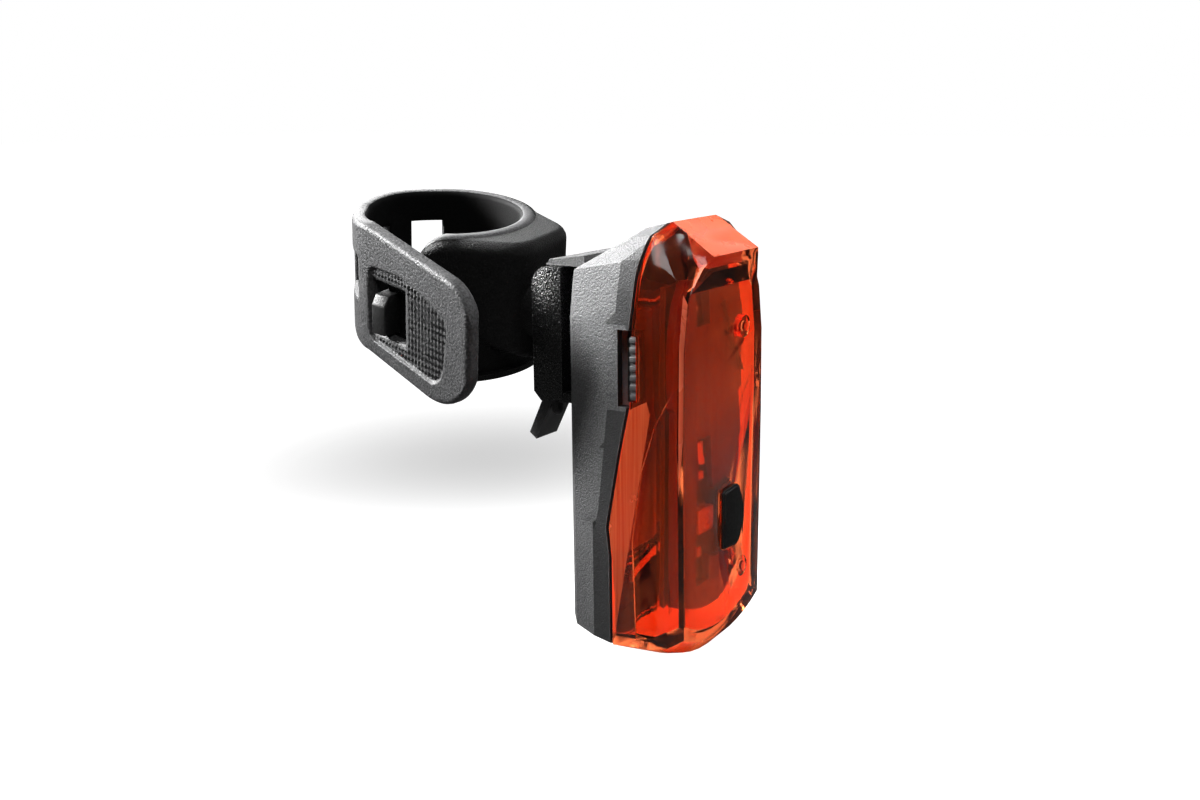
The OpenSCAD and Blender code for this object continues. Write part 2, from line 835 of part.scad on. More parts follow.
// The end of the inner arm and the block beside it slope down steeply under the pull tab
module arm_slope() {
    translate([-over, 0, 0])
        rotate([90, 0, 90])
            linear_extrude(over - 8)
                difference() {
                    translate([-11, 4])
                        square([30, 30]);
                    translate([-11, 7.3])
                        circle(5.4, $fn = 64);
                    translate([-21, 0])
                        square([15.4, 7.3]);
                }
}

module saddle_block() {
    color([0.16, 0.16, 0.16])
        difference() {
            union() {
                in_strap()
                    difference() {
                        union() {
                            intersection() {
                                translate([0, 0, -12])
                                    linear_extrude(block_top + 12)
                                        block_outline(band_r + 0.6, 6.4);
                                rotate([90, 0, 0])
                                    linear_extrude(2 * over, center = true)
                                        union() {
                                            translate([0, 4])
                                                circle(15.6, $fn = 96);
                                            translate([-20, 4])
                                                square([40, 20]);
                                        }
                            }
                            translate([0, 0, liner_bottom + 0.7])
                                cylinder(r = band_r + 2.2, h = 14, $fn = 120);
                            translate([0, 0, liner_bottom - 0.3])
                                cylinder(r = band_r + 3, h = 1.2, $fn = 120);
                        }
                        translate([-over, -1, -over])
                            cube([2 * over, over, 2 * over]);
                        cylinder(r = band_r + fit, h = over, center = true, $fn = 120);
                        for (s = [-1, 1]) {
                            translate([s * (band_r + 1.3), -7, 0])
                                rotate([0, 0, s * 20])
                                    translate([-4, 0, -over])
                                        cube([8, 10, 2 * over]);
                        }
                        arm_slope();
                    }
                translate(head_at + [0, boss_front, swivel_up])
                    rotate([-90, 0, 0])
                        cylinder(d = boss_d, h = boss_l + 4);
            }
            translate(head_at + [0, 0, swivel_up])
                rotate([-90, 0, 0]) {
                    cylinder(d = bolt_d + 0.4, h = insert_y + insert_l + 0.6);
                    translate([0, 0, insert_y - fit])
                        cylinder(d = bolt_d + 3.4 + 2 * fit, h = insert_l);
                }
        }
}

// Section of the strap in radius and height, with softened edges
function strap_section(ri, ro, z0, z1) = [[ri, z0 + 1.1], [ri + 0.8, z0], [ro - 1, z0], [ro, z0 + 1],
    [ro, z1 - 1], [ro - 1, z1], [ri + 0.8, z1], [ri, z1 - 1.1]];

module sector(from, to, points) {
    rotate([0, 0, from])
        rotate_extrude(angle = to - from, $fn = 120)
            polygon(points);
}

// A slot through the strap at an angle, its middle at height z
module slot_cut(at, r, z) {
    rotate([0, 0, at])
        translate([r, 0, z])
            cube([12, slot_w, slot_h], center = true);
}

function smooth(t) = t <= 0 ? 0 : t >= 1 ? 1 : t * t * (3 - 2 * t);
function round_off(u, r) = u < tab_l - r ? 0 : r - sqrt(max(0, r * r - pow(u - tab_l + r, 2)));

// The strap's outer end: distance u along it counts from where it becomes straight
function along(a) = (a - straight_at) * 3.14159 / 180 * (tab_r + tab_t);
function path_r(a) = bore_r + (a < liner_end + 1 ? 0.12 : 0) + 1.3 * smooth((a - bulge_start) / 40)
    + (tab_r - bore_r - 1.3) * smooth((a - spiral_start) / (straight_at - spiral_start));
function grown(u) = smooth((u + 17) / 17);
function edge_top(u) = band_z + strap_w / 2 + (tab_top - band_z - strap_w / 2) * grown(u)
    - 0.19 * max(0, u) - round_off(u, 6);
function edge_bottom(u) = band_z - strap_w / 2 + (tab_bottom - band_z + strap_w / 2) * grown(u)
    - 0.22 * max(0, u) + round_off(u, 12);

// The grip panel is sunk by 0.6 between its margins
function sunk(u) = u < -0.5 || u > tab_l - 5.6 ? 0 : 0.6;

function tab_ring(u) =
    let (a = u < 0 ? straight_at + u / (tab_r + tab_t) * 180 / 3.14159 : straight_at,
        run = max(0, u), ri = path_r(a), ro = ri + tab_t - (a < liner_end + 1 ? 0.24 : 0),
        t = edge_top(u), b = edge_bottom(u), d = sunk(u),
        m = min(5.4, (t - b) / 3), n = min(3.2, (t - b) / 4))
    [for (p = [[ri, b + 1.1], [ri + 0.8, b], [ro - 1, b], [ro, b + 1], [ro, b + n], [ro - d, b + n + 0.4],
        [ro - d, t - m - 0.4], [ro, t - m], [ro, t - 1], [ro - 1, t], [ri + 0.8, t], [ri, t - 1.1]])
        [p[0] * cos(a) - run * sin(a), p[0] * sin(a) + run * cos(a), p[1]]];

module strap_sweep(from, to, n) {
    step = (to - from) / n;
    points = [for (i = [0:n]) each tab_ring(from + i * step)];
    polyhedron(points, tube_faces(n + 1, 12), convexity = 6);
}

module strap_band() {
    color([0.17, 0.17, 0.17])
        in_strap()
            difference() {
                union() {
                    difference() {
                        sector(arm_start, liner_end,
                            strap_section(bore_r, band_r, liner_bottom, liner_top));
                        arm_slope();
                    }
                    strap_sweep(along(liner_end - 5), along(split_at), 44);
                }
                for (a = slot_degrees) {
                    slot_cut(a, band_r, band_z);
                }
            }
}

// The peg that the strap's slot hooks over, on the end of the inner arm
module hook_peg() {
    top = peg_mid + peg_h / 2;
    bottom = peg_mid - peg_h / 2;
    profile = [[-band_r - fit, bottom], [-peg_tip, bottom + 0.5], [-peg_tip, top - 1.8],
        [-peg_tip + 1.2, top], [-band_r - fit, top]];
    color([0.2, 0.2, 0.2])
        in_strap()
            translate([0, -0.4, 0])
                rotate([90, 0, 0])
                    linear_extrude(peg_w, center = true)
                        polygon(profile);
}

module pull_tab() {
    color([0.17, 0.17, 0.17])
        in_strap()
            difference() {
                strap_sweep(along(tab_from), tab_l, 30);
                translate([-tab_r - tab_t, -1.5, peg_mid + 1])
                    cube([16, slot_w + 2, slot_h + 2.6], center = true);
            }
}

rear_housing();
lens();
housing_seal();
inner_carrier();
circuit_board();
main_led();
led_optic();
standby_led();
board_components();
tactile_switch();
board_screws();
mode_button();
battery_cell_left();
battery_cell_right();
contact_springs();
contact_plates();
latch_left();
latch_right();
clip_bracket();
release_lever();
lever_pin();
swivel_disc();
swivel_bolt();
swivel_insert();
saddle_block();
strap_band();
hook_peg();
pull_tab();
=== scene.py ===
# %% [markdown]
# # A bicycle rear light with a rubber strap
# The light stands on a pale table. A red lens closes a grey housing, a black bracket joins the
# housing to a saddle block, and a rubber strap holds the block on the seat post. The solids of the
# imported model are the frame: every piece below is made in the same place, and most are hung on an
# empty named after their body.

# %% Load the frame
import math
import bmesh
import bpy
import numpy as np
from mathutils import Matrix, Vector


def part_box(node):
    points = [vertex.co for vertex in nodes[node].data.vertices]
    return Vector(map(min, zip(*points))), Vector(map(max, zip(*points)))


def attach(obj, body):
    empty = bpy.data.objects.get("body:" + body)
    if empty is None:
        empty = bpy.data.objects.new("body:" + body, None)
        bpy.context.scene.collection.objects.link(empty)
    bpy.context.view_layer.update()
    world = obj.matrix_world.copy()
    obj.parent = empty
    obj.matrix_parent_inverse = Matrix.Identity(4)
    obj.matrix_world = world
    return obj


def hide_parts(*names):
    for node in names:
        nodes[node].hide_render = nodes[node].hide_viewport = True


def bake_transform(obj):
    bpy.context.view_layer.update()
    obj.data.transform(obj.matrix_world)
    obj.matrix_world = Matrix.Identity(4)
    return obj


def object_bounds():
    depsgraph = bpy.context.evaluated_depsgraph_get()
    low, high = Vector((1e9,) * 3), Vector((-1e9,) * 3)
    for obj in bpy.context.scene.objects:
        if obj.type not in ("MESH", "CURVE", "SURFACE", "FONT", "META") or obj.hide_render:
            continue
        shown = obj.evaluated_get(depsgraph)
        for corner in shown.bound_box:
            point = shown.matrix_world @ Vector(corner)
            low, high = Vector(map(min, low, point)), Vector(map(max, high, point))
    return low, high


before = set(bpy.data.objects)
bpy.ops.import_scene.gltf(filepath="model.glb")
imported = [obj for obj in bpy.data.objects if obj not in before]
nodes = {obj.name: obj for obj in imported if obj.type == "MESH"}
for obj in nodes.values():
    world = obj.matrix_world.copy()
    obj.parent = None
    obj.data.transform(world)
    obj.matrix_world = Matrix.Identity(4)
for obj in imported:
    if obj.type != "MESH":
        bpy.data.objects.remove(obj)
cad_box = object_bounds()
MM = 0.001

# %% [markdown]
# ## Two systems of places
# The head is described from the middle of its face's lower edge: x to its right, y into its depth and
# z up. The strap is described from the middle of the seat post, whose axis leans by 9 degrees and is
# turned by 8 degrees. One small function for each turns such a place, in millimetres, into the
# frame's metres.

# %% Places on the head and on the strap
HEAD_AT = Vector((0.654, -60.5, -59.654))
STRAP_TURN = Matrix.Rotation(math.radians(-8), 3, "Y") @ Matrix.Rotation(math.radians(9), 3, "X")


def head(x, y, z):
    return (Vector((x, y, z)) + HEAD_AT) * MM


def strap(x, y, z):
    return (STRAP_TURN @ Vector((x, y, z))) * MM


print("post axis:", [round(v, 4) for v in STRAP_TURN @ Vector((0, 0, 1))])

# %% [markdown]
# ## Camera
# The light is seen from its left and a little from above, from about a quarter of a metre away, so
# the perspective is strong, as it is when a small object is taken from close by with a normal lens.
# The camera's place, turn and focal length are set as numbers.

# %% Set the camera
camera_data = bpy.data.cameras.new("camera")
camera_data.lens = 40.5
camera_data.sensor_width = 36
camera_data.clip_start = 0.005
camera = bpy.data.objects.new("camera", camera_data)
bpy.context.scene.collection.objects.link(camera)
camera.location = (-0.2073459, -0.1670000, 0.0328457)
CAMERA_TURN = (77.39913676888338, 0.6636226205014669, -57.64834021766004)
camera.rotation_euler = [math.radians(a) for a in CAMERA_TURN]
bpy.context.scene.camera = camera
bpy.context.scene.view_settings.view_transform = "Standard"
print("camera at", [round(v, 3) for v in camera.location])

# %% [markdown]
# ## Working by hand, in code
# The next helpers do what a hand does in the window: deselect everything, select one piece, go into
# edit mode, do the steps and come back. A finished piece is held inside the box of the solids and
# gets its material and its body. A zone of it can be handed to a further material.

# %% Helpers for modelling by hand


def pick(piece):
    bpy.ops.object.select_all(action="DESELECT")
    piece.select_set(True)
    bpy.context.view_layer.objects.active = piece
    return piece


def edit(piece, mode="FACE"):
    pick(piece)
    bpy.ops.object.mode_set(mode="EDIT")
    bpy.ops.mesh.select_mode(type=mode)
    bpy.ops.mesh.select_all(action="DESELECT")


def leave():
    bpy.ops.object.mode_set(mode="OBJECT")


def take_all():
    bpy.ops.mesh.select_all(action="SELECT")


def cut_across(place, side):
    """Bisects the whole mesh in edit mode by a plane through the place."""
    take_all()
    bpy.ops.mesh.bisect(plane_co=place, plane_no=side)


def new_grid(name, across, up, size=1, place=(0, 0, 0)):
    """Adds a flat grid with so many faces across and up."""
    bpy.ops.object.select_all(action="DESELECT")
    bpy.ops.mesh.primitive_grid_add(x_subdivisions=across, y_subdivisions=up, size=size, location=place)
    piece = bpy.context.object
    piece.name = name
    return piece


def select_where(piece, part, test):
    """Selects faces or edges of the mesh in edit mode whose middle passes the test."""
    bm = bmesh.from_edit_mesh(piece.data)
    found = 0
    for item in getattr(bm, part):
        corners = [v.co for v in item.verts]
        middle = sum(corners, Vector()) / len(corners)
        if test(item, middle):
            item.select_set(True)
            found += 1
    bmesh.update_edit_mesh(piece.data)
    return found


def apply_modifier(piece, kind, **settings):
    modifier = piece.modifiers.new(kind.lower(), kind)
    for key, value in settings.items():
        setattr(modifier, key, value)
    pick(piece)
    bpy.ops.object.modifier_apply(modifier=modifier.name)


def smooth(piece, degrees=32):
    pick(piece)
    bpy.ops.object.shade_smooth_by_angle(angle=math.radians(degrees))


def keep_within(piece):
    """Holds every point inside the box of the frame's solids, so a rounded form never swells past it."""
    inset = 0.01 * MM
    for v in piece.data.vertices:
        for i in range(3):
            v.co[i] = min(max(v.co[i], cad_box[0][i] + inset), cad_box[1][i] - inset)


def finish(piece, material, body):
    keep_within(piece)
    piece.data.materials.clear()
    piece.data.materials.append(material)
    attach(piece, body)
    print(piece.name, "faces:", len(piece.data.polygons), "rides on", body)
    return piece


def give_slot(piece, slot, test):
    """Hands the faces that pass the test to a further material of the piece."""
    edit(piece)
    found = select_where(piece, "faces", test)
    piece.active_material_index = slot
    bpy.ops.object.material_slot_assign()
    leave()
    print(piece.name, "slot", slot, "faces:", found)


# %% [markdown]
# ## Moulded edges
# Injection moulded parts never have knife edges: the tool leaves a radius of a few tenths of a
# millimetre, and that radius catches the light as a thin bright line. The frame's solids have sharp
# edges, so a copy of a solid has its loose triangles merged, its flat faces dissolved into single
# faces and its edges bevelled. The copy then stands for the solid.

# %% Copy a solid and round its edges
WELD = 0.003 * MM
FLAT_ANGLE = math.radians(0.6)
EDGE_ANGLE = math.radians(28)


def moulded(node, name, radius, steps=2):
    source = nodes[node]
    piece = bpy.data.objects.new(name, source.data.copy())
    bpy.context.scene.collection.objects.link(piece)
    edit(piece, "VERT")
    take_all()
    bpy.ops.mesh.remove_doubles(threshold=WELD)
    bpy.ops.mesh.dissolve_limited(angle_limit=FLAT_ANGLE)
    leave()
    if radius > 0:
        apply_modifier(piece, "BEVEL", width=radius * MM, segments=steps, limit_method="ANGLE",
                       angle_limit=EDGE_ANGLE, use_clamp_overlap=True)
    smooth(piece)
    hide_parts(node)
    return piece


print("edges sharper than", round(math.degrees(EDGE_ANGLE)), "degrees are rounded")

# %% [markdown]
# ## Shader parts shared by the finishes
# Moulded plastic, rubber and clear acrylic share a few effects. Each is a node group with named
# inputs, so that each material sets its own scale and strength. Three helpers make a group, add a
# node with its settings, and join two nodes.

# %% Make a node group


def new_group(name, inputs, outputs):
    group = bpy.data.node_groups.new(name, "ShaderNodeTree")
    for label, kind, value in inputs:
        socket = group.interface.new_socket(name=label, in_out="INPUT", socket_type=kind)
        socket.default_value = value
    for label, kind in outputs:
        group.interface.new_socket(name=label, in_out="OUTPUT", socket_type=kind)
    given = group.nodes.new("NodeGroupInput")
    result = group.nodes.new("NodeGroupOutput")
    return group, given, result


def add(tree, kind, **values):
    """Adds a node. A name such as in_2 sets an input by number, a capitalised one sets it by name."""
    node = tree.nodes.new(kind)
    for key, value in values.items():
        if key.startswith("in_"):
            node.inputs[int(key[3:])].default_value = value
        elif key[0].isupper():
            node.inputs[key].default_value = value
        else:
            setattr(node, key, value)
    return node


def join(tree, a, out, b, into):
    tree.links.new(a.outputs[out], b.inputs[into])


print("node helpers are ready")

# %% [markdown]
# The mould of a matt part is eaten by sparks, which leaves a fine, even grain. The grain shows in the
# colour, in the gloss and in the relief at once, and a broader cloudiness keeps it from looking
# printed.

# %% Fine grain of a spark-eroded mould
grain, given, result = new_group(
    "fine_grain",
    [("Scale", "NodeSocketFloat", 4200), ("Dark", "NodeSocketColor", (0.1, 0.1, 0.1, 1)),
     ("Light", "NodeSocketColor", (0.2, 0.2, 0.2, 1)), ("Roughness", "NodeSocketFloat", 0.6)],
    [("Color", "NodeSocketColor"), ("Height", "NodeSocketFloat"), ("Roughness", "NodeSocketFloat")])
place = add(grain, "ShaderNodeTexCoord")
fine = add(grain, "ShaderNodeTexNoise", Detail=3)
broad = add(grain, "ShaderNodeTexNoise", Scale=90)
spread = add(grain, "ShaderNodeMapRange", in_1=0.3, in_2=0.7)
blend_broad = add(grain, "ShaderNodeMath", operation="MULTIPLY_ADD", in_1=0.35)
tint = add(grain, "ShaderNodeMix", data_type="RGBA")
rough = add(grain, "ShaderNodeMath", operation="MULTIPLY_ADD", in_1=0.16)
join(grain, place, "Object", fine, "Vector")
join(grain, place, "Object", broad, "Vector")
join(grain, given, "Scale", fine, "Scale")
join(grain, fine, "Fac", spread, 0)
join(grain, broad, "Fac", blend_broad, 0)
scaled = add(grain, "ShaderNodeMath", operation="MULTIPLY", in_1=0.65)
join(grain, spread, 0, scaled, 0)
join(grain, scaled, 0, blend_broad, 2)
join(grain, blend_broad, 0, tint, "Factor")
join(grain, given, "Dark", tint, "A")
join(grain, given, "Light", tint, "B")
join(grain, spread, 0, rough, 0)
join(grain, given, "Roughness", rough, 2)
join(grain, tint, "Result", result, "Color")
join(grain, spread, 0, result, "Height")
join(grain, rough, 0, result, "Roughness")
print("group:", grain.name)

# %% [markdown]
# A leather-grained mould leaves cells with soft borders. Smooth Voronoi cells make them, and a finer
# noise wrinkles them.

# %% Cells of a leather-grained mould
leather, given, result = new_group(
    "leather_grain",
    [("Scale", "NodeSocketFloat", 1100), ("Depth", "NodeSocketFloat", 1.0)],
    [("Height", "NodeSocketFloat"), ("Valley", "NodeSocketFloat")])
place = add(leather, "ShaderNodeTexCoord")
cells = add(leather, "ShaderNodeTexVoronoi", feature="SMOOTH_F1", Smoothness=0.6)
wrinkle = add(leather, "ShaderNodeTexNoise", Detail=4)
double = add(leather, "ShaderNodeMath", operation="MULTIPLY", in_1=1.7)
both = add(leather, "ShaderNodeMath", operation="MULTIPLY_ADD", in_1=0.6)
deep = add(leather, "ShaderNodeMath", operation="MULTIPLY")
valley = add(leather, "ShaderNodeMapRange", in_1=0.35, in_2=0.85)
join(leather, place, "Object", cells, "Vector")
join(leather, place, "Object", wrinkle, "Vector")
join(leather, given, "Scale", cells, "Scale")
join(leather, given, "Scale", double, 0)
join(leather, double, 0, wrinkle, "Scale")
join(leather, wrinkle, "Fac", both, 0)
join(leather, cells, "Distance", both, 2)
join(leather, both, 0, deep, 0)
join(leather, given, "Depth", deep, 1)
join(leather, both, 0, valley, 0)
join(leather, deep, 0, result, "Height")
join(leather, valley, 0, result, "Valley")
print("group:", leather.name)

# %% [markdown]
# Handling polishes edges, and the lighter colour on them is also a painted highlight for the rounded
# edges. The normal of a bevelled surface differs from the true one only near an edge, so the two
# compared give a mask, and a noise breaks it up.

# %% Edges that handling has polished, painted lighter also as highlight
wear_and_highlight, given, result = new_group(
    "edge_wear_and_highlight",
    [("Radius", "NodeSocketFloat", 0.0005), ("Amount", "NodeSocketFloat", 0.6),
     ("Color", "NodeSocketColor", (0.1, 0.1, 0.1, 1)), ("Worn", "NodeSocketColor", (0.4, 0.4, 0.4, 1))],
    [("Color", "NodeSocketColor"), ("Mask", "NodeSocketFloat")])
rounded = add(wear_and_highlight, "ShaderNodeBevel")
rounded.samples = 4
true_side = add(wear_and_highlight, "ShaderNodeNewGeometry")
turn = add(wear_and_highlight, "ShaderNodeVectorMath", operation="DOT_PRODUCT")
edge = add(wear_and_highlight, "ShaderNodeMapRange", in_1=0.995, in_2=0.86)
place = add(wear_and_highlight, "ShaderNodeTexCoord")
patch = add(wear_and_highlight, "ShaderNodeTexNoise", Scale=500)
broken = add(wear_and_highlight, "ShaderNodeMapRange", in_1=0.3, in_2=0.6, in_3=0.45, in_4=1.0)
mask = add(wear_and_highlight, "ShaderNodeMath", operation="MULTIPLY")
amount = add(wear_and_highlight, "ShaderNodeMath", operation="MULTIPLY")
paint = add(wear_and_highlight, "ShaderNodeMix", data_type="RGBA")
join(wear_and_highlight, given, "Radius", rounded, "Radius")
join(wear_and_highlight, rounded, "Normal", turn, 0)
join(wear_and_highlight, true_side, "Normal", turn, 1)
join(wear_and_highlight, turn, "Value", edge, 0)
join(wear_and_highlight, place, "Object", patch, "Vector")
join(wear_and_highlight, patch, "Fac", broken, 0)
join(wear_and_highlight, edge, 0, mask, 0)
join(wear_and_highlight, broken, 0, mask, 1)
join(wear_and_highlight, mask, 0, amount, 0)
join(wear_and_highlight, given, "Amount", amount, 1)
join(wear_and_highlight, amount, 0, paint, "Factor")
join(wear_and_highlight, given, "Color", paint, "A")
join(wear_and_highlight, given, "Worn", paint, "B")
join(wear_and_highlight, paint, "Result", result, "Color")
join(wear_and_highlight, amount, 0, result, "Mask")
print("group:", wear_and_highlight.name)

# %% [markdown]
# A mould that is milled upwards leaves upright lines in clear parts. A noise whose places are
# stretched along the height gives them.

# %% Upright streaks of a milled mould
streaks, given, result = new_group(
    "upright_streaks",
    [("Across", "NodeSocketFloat", 2600), ("Along", "NodeSocketFloat", 40),
     ("Dark", "NodeSocketColor", (0.1, 0.1, 0.1, 1)), ("Light", "NodeSocketColor", (0.2, 0.2, 0.2, 1))],
    [("Color", "NodeSocketColor"), ("Height", "NodeSocketFloat")])
place = add(streaks, "ShaderNodeTexCoord")
scales = add(streaks, "ShaderNodeCombineXYZ")
stretch = add(streaks, "ShaderNodeVectorMath", operation="MULTIPLY")
lines_noise = add(streaks, "ShaderNodeTexNoise", Scale=1)
wider = add(streaks, "ShaderNodeMapRange", in_1=0.3, in_2=0.7)
shade = add(streaks, "ShaderNodeMix", data_type="RGBA")
join(streaks, given, "Across", scales, "X")
join(streaks, given, "Across", scales, "Y")
join(streaks, given, "Along", scales, "Z")
join(streaks, place, "Object", stretch, 0)
join(streaks, scales, 0, stretch, 1)
join(streaks, stretch, 0, lines_noise, "Vector")
join(streaks, lines_noise, "Fac", wider, 0)
join(streaks, wider, 0, shade, "Factor")
join(streaks, given, "Dark", shade, "A")
join(streaks, given, "Light", shade, "B")
join(streaks, shade, "Result", result, "Color")
join(streaks, wider, 0, result, "Height")
print("group:", streaks.name)

# %% [markdown]
# A finish is a material that takes its numbers from these groups. The most used one joins the grain,
# the worn edges with their painted highlight and, for some parts, the leather cells.

# %% Put the groups into a material


def new_material(name):
    material = bpy.data.materials.new(name)
    material.use_nodes = True
    shader = material.node_tree.nodes["Principled BSDF"]
    return material, material.node_tree, shader


def place_group(tree, group, **values):
    node = tree.nodes.new("ShaderNodeGroup")
    node.node_tree = group
    for key, value in values.items():
        node.inputs[key].default_value = value
    return node


def grained(name, dark, light, roughness, scale=4200, bump=0.06, worn_and_lit=None, amount=0.5, radius=0.0004,
            cell=None, cell_bump=0.3, specular=0.5):
    """A moulded finish: fine grain in colour, gloss and relief, edges lighter from wear and painted
    highlight, leather cells on request.
    """
    material, tree, shader = new_material(name)
    fine_part = place_group(tree, grain, Scale=scale, Dark=(*dark, 1), Light=(*light, 1),
                            Roughness=roughness)
    edge_part = place_group(tree, wear_and_highlight, Radius=radius, Amount=amount, Worn=(*(worn_and_lit or light), 1))
    relief = add(tree, "ShaderNodeBump", Strength=bump, Distance=0.1 * MM)
    join(tree, fine_part, "Color", edge_part, "Color")
    join(tree, edge_part, "Color", shader, "Base Color")
    join(tree, fine_part, "Roughness", shader, "Roughness")
    join(tree, fine_part, "Height", relief, "Height")
    if cell:
        cells_part = place_group(tree, leather, Scale=cell)
        coarse = add(tree, "ShaderNodeBump", Strength=cell_bump, Distance=0.25 * MM)
        join(tree, cells_part, "Height", coarse, "Height")
        join(tree, coarse, "Normal", relief, "Normal")
    join(tree, relief, "Normal", shader, "Normal")
    shader.inputs["Specular IOR Level"].default_value = specular
    return material


print("grained finishes can be made")

# %% [markdown]
# ## Finishes of the opaque parts
# The housing is grey plastic with a fine matt grain. A strip along the lens is painted darker and the
# notches are painted almost black, both as painted shade. The bracket is black and glossy, with a
# leather grain, and its lever is greyer. The saddle block is black, and its grain sparkles. The strap is
# soft rubber, and its inner face, which lies in the dark, is smoother and painted deeper black as
# painted shade. Each gets its own scale, colours, edge wear and painted edge highlight.

# %% Mix the opaque finishes


def grey(value):
    return value, value, value


housing_grey = grained("housing_grey", (0.022, 0.022, 0.023), (0.115, 0.115, 0.117), 0.42, 3300, 0.8,
                       grey(0.26), 0.5, 0.00035)
# Painted shade: near black for the walls of the notches, where the housing's own grey lies in shadow.
notch_painted_shade = grained("notch_painted_shade", grey(0.003), grey(0.009), 0.6, 3000, 0.1)
# Painted shade: a darker grey for the flank strip in front of the crease, which turns away from the lamps.
crease_strip_painted_shade = grained("crease_strip_painted_shade", grey(0.006), (0.030, 0.030, 0.031), 0.5, 3300, 0.6,
                     grey(0.20), 0.5, 0.00035)
latch_grey = grained("latch_grey", (0.020, 0.020, 0.021), (0.06, 0.06, 0.061), 0.42, 5200, 0.1,
                     grey(0.13), 0.5, 0.0003)
seal_black = grained("seal_black", grey(0.003), grey(0.008), 0.55, 2600, 0.1, grey(0.02), 0.3)
bracket_black = grained("bracket_black", grey(0.003), grey(0.006), 0.2, 3000, 0.05,
                        grey(0.12), 0.4, 0.00025, 3200, 0.5)
lever_black = grained("lever_black", (0.015, 0.015, 0.016), (0.055, 0.055, 0.056), 0.42, 3600, 0.2,
                      grey(0.25), 0.5, 0.0003)
saddle_black = grained("saddle_black", grey(0.001), grey(0.009), 0.36, 3400, 0.9,
                       grey(0.05), 0.5, 0.0003, 2600, 0.2, 0.3)
strap_rubber = grained("strap_rubber", grey(0.001), (0.085, 0.085, 0.087), 0.42, 2400, 0.7,
                       grey(0.08), 0.5, 0.0006)
# Partly a smoother inner rubber, partly painted shade: near black for the faces that look into the loop.
smooth_inner_painted_shade = grained("smooth_inner_painted_shade", grey(0.001), grey(0.004), 0.6, 3400, 0.2,
                      grey(0.006), 0.2, 0.0003, None, 0.3, 0.12)
peg_rubber = grained("peg_rubber", grey(0.004), grey(0.016), 0.4, 3400, 0.3, grey(0.10), 0.6, 0.0003)
button_rubber = grained("button_rubber", grey(0.001), grey(0.004), 0.5, 3200, 0.1, grey(0.06), 0.6, 0.0004)
carrier_brown = grained("carrier_brown", (0.06, 0.02, 0.014), (0.11, 0.034, 0.024), 0.4, 1400, 0.05,
                        (0.3, 0.2, 0.16), 0.5, 0.0003)
board_green = grained("board_green", (0.04, 0.08, 0.045), (0.06, 0.12, 0.07), 0.35, 2200, 0.05,
                      (0.5, 0.4, 0.2), 0.3)
part_black = grained("part_black", grey(0.01), grey(0.03), 0.4, 2600, 0.06, grey(0.2), 0.5, 0.0002)
chip_pale = grained("chip_pale", (0.85, 0.8, 0.75), (1.0, 0.95, 0.9), 0.3, 2600, 0.05,
                    (1.0, 0.9, 0.8), 0.6, 0.0002)
cell_wrap = grained("cell_wrap", (0.25, 0.25, 0.27), (0.36, 0.36, 0.38), 0.3, 1500, 0.03, grey(0.7), 0.3)
print("opaque finishes:", len(bpy.data.materials))

# %% [markdown]
# Springs, contacts, screws, pin, disc and bolt are plated steel, and the insert is turned brass. Both
# are the same grained finish, made metallic.

# %% Mix the metals


def metal(name, dark, light, roughness):
    material = grained(name, dark, light, roughness, 2600, 0.05, light, 0.4, 0.0002)
    material.node_tree.nodes["Principled BSDF"].inputs["Metallic"].default_value = 1
    return material


plated_steel = metal("plated_steel", (0.55, 0.55, 0.56), (0.75, 0.75, 0.76), 0.22)
turned_brass = metal("turned_brass", (0.62, 0.42, 0.16), (0.82, 0.6, 0.28), 0.25)
print("metals:", plated_steel.name, turned_brass.name)

# %% [markdown]
# ## Red lens
# The lens is clear red acrylic, almost two millimetres thick. Light that passes through it twice, in
# and out again, comes back deep red, and thin rims look orange. Glass shading on a closed wall does
# this by itself, so the transmission stays plain and only colour, gloss and relief vary. The roof
# pane and the flange strip have a milkier finish of their own: they catch the light.

# %% Mix the lens


def clear(name, deep, pale, roughness, clearness=1.0, across=0, bump=0):
    """A see-through finish: clearness is the share of light let through, across how fine its streaks are."""
    material, tree, shader = new_material(name)
    tone = place_group(tree, grain, Scale=160, Dark=(*deep, 1), Light=(*pale, 1), Roughness=roughness)
    join(tree, tone, "Color", shader, "Base Color")
    join(tree, tone, "Roughness", shader, "Roughness")
    if across:
        upright = place_group(tree, streaks, Across=across, Dark=(*deep, 1), Light=(*pale, 1))
        relief = add(tree, "ShaderNodeBump", Strength=bump, Distance=0.1 * MM)
        join(tree, upright, "Color", shader, "Base Color")
        join(tree, upright, "Height", relief, "Height")
        join(tree, relief, "Normal", shader, "Normal")
    shader.inputs["Transmission Weight"].default_value = clearness
    shader.inputs["IOR"].default_value = 1.49
    return material


lens_red = clear("lens_red", (1.0, 0.14, 0.04), (1.0, 0.21, 0.065), 0.0, 1.0, 1500, 0.05)
lens_pane = clear("lens_pane", (1.0, 0.14, 0.06), (1.0, 0.19, 0.09), 0.2, 0.2)
lens_strip = clear("lens_strip", (0.8, 0.07, 0.015), (1.0, 0.16, 0.05), 0.14, 0.6, 2400, 0.35)
optic_clear = clear("optic_clear", (0.92, 0.92, 0.9), (0.98, 0.98, 0.97), 0.05, 0.6)
led_clear = clear("led_clear", (0.9, 0.88, 0.8), (0.98, 0.96, 0.9), 0.1, 0.3)
print("clear finishes:", lens_red.name, optic_clear.name, led_clear.name)

# %% [markdown]
# ## Rear housing, latches and seal
# The rear housing is a thin grey tub. A crease runs down each flank: it starts near the lens at the
# top, passes the notch and ends deeper at the foot. The solid has plain flanks, so the crease is cut
# into the copy: the flanks are bisected along it, and the points on the cut are pushed out by up to
# 0.6 millimetres. In front of the crease the surface turns away from the lamps behind.

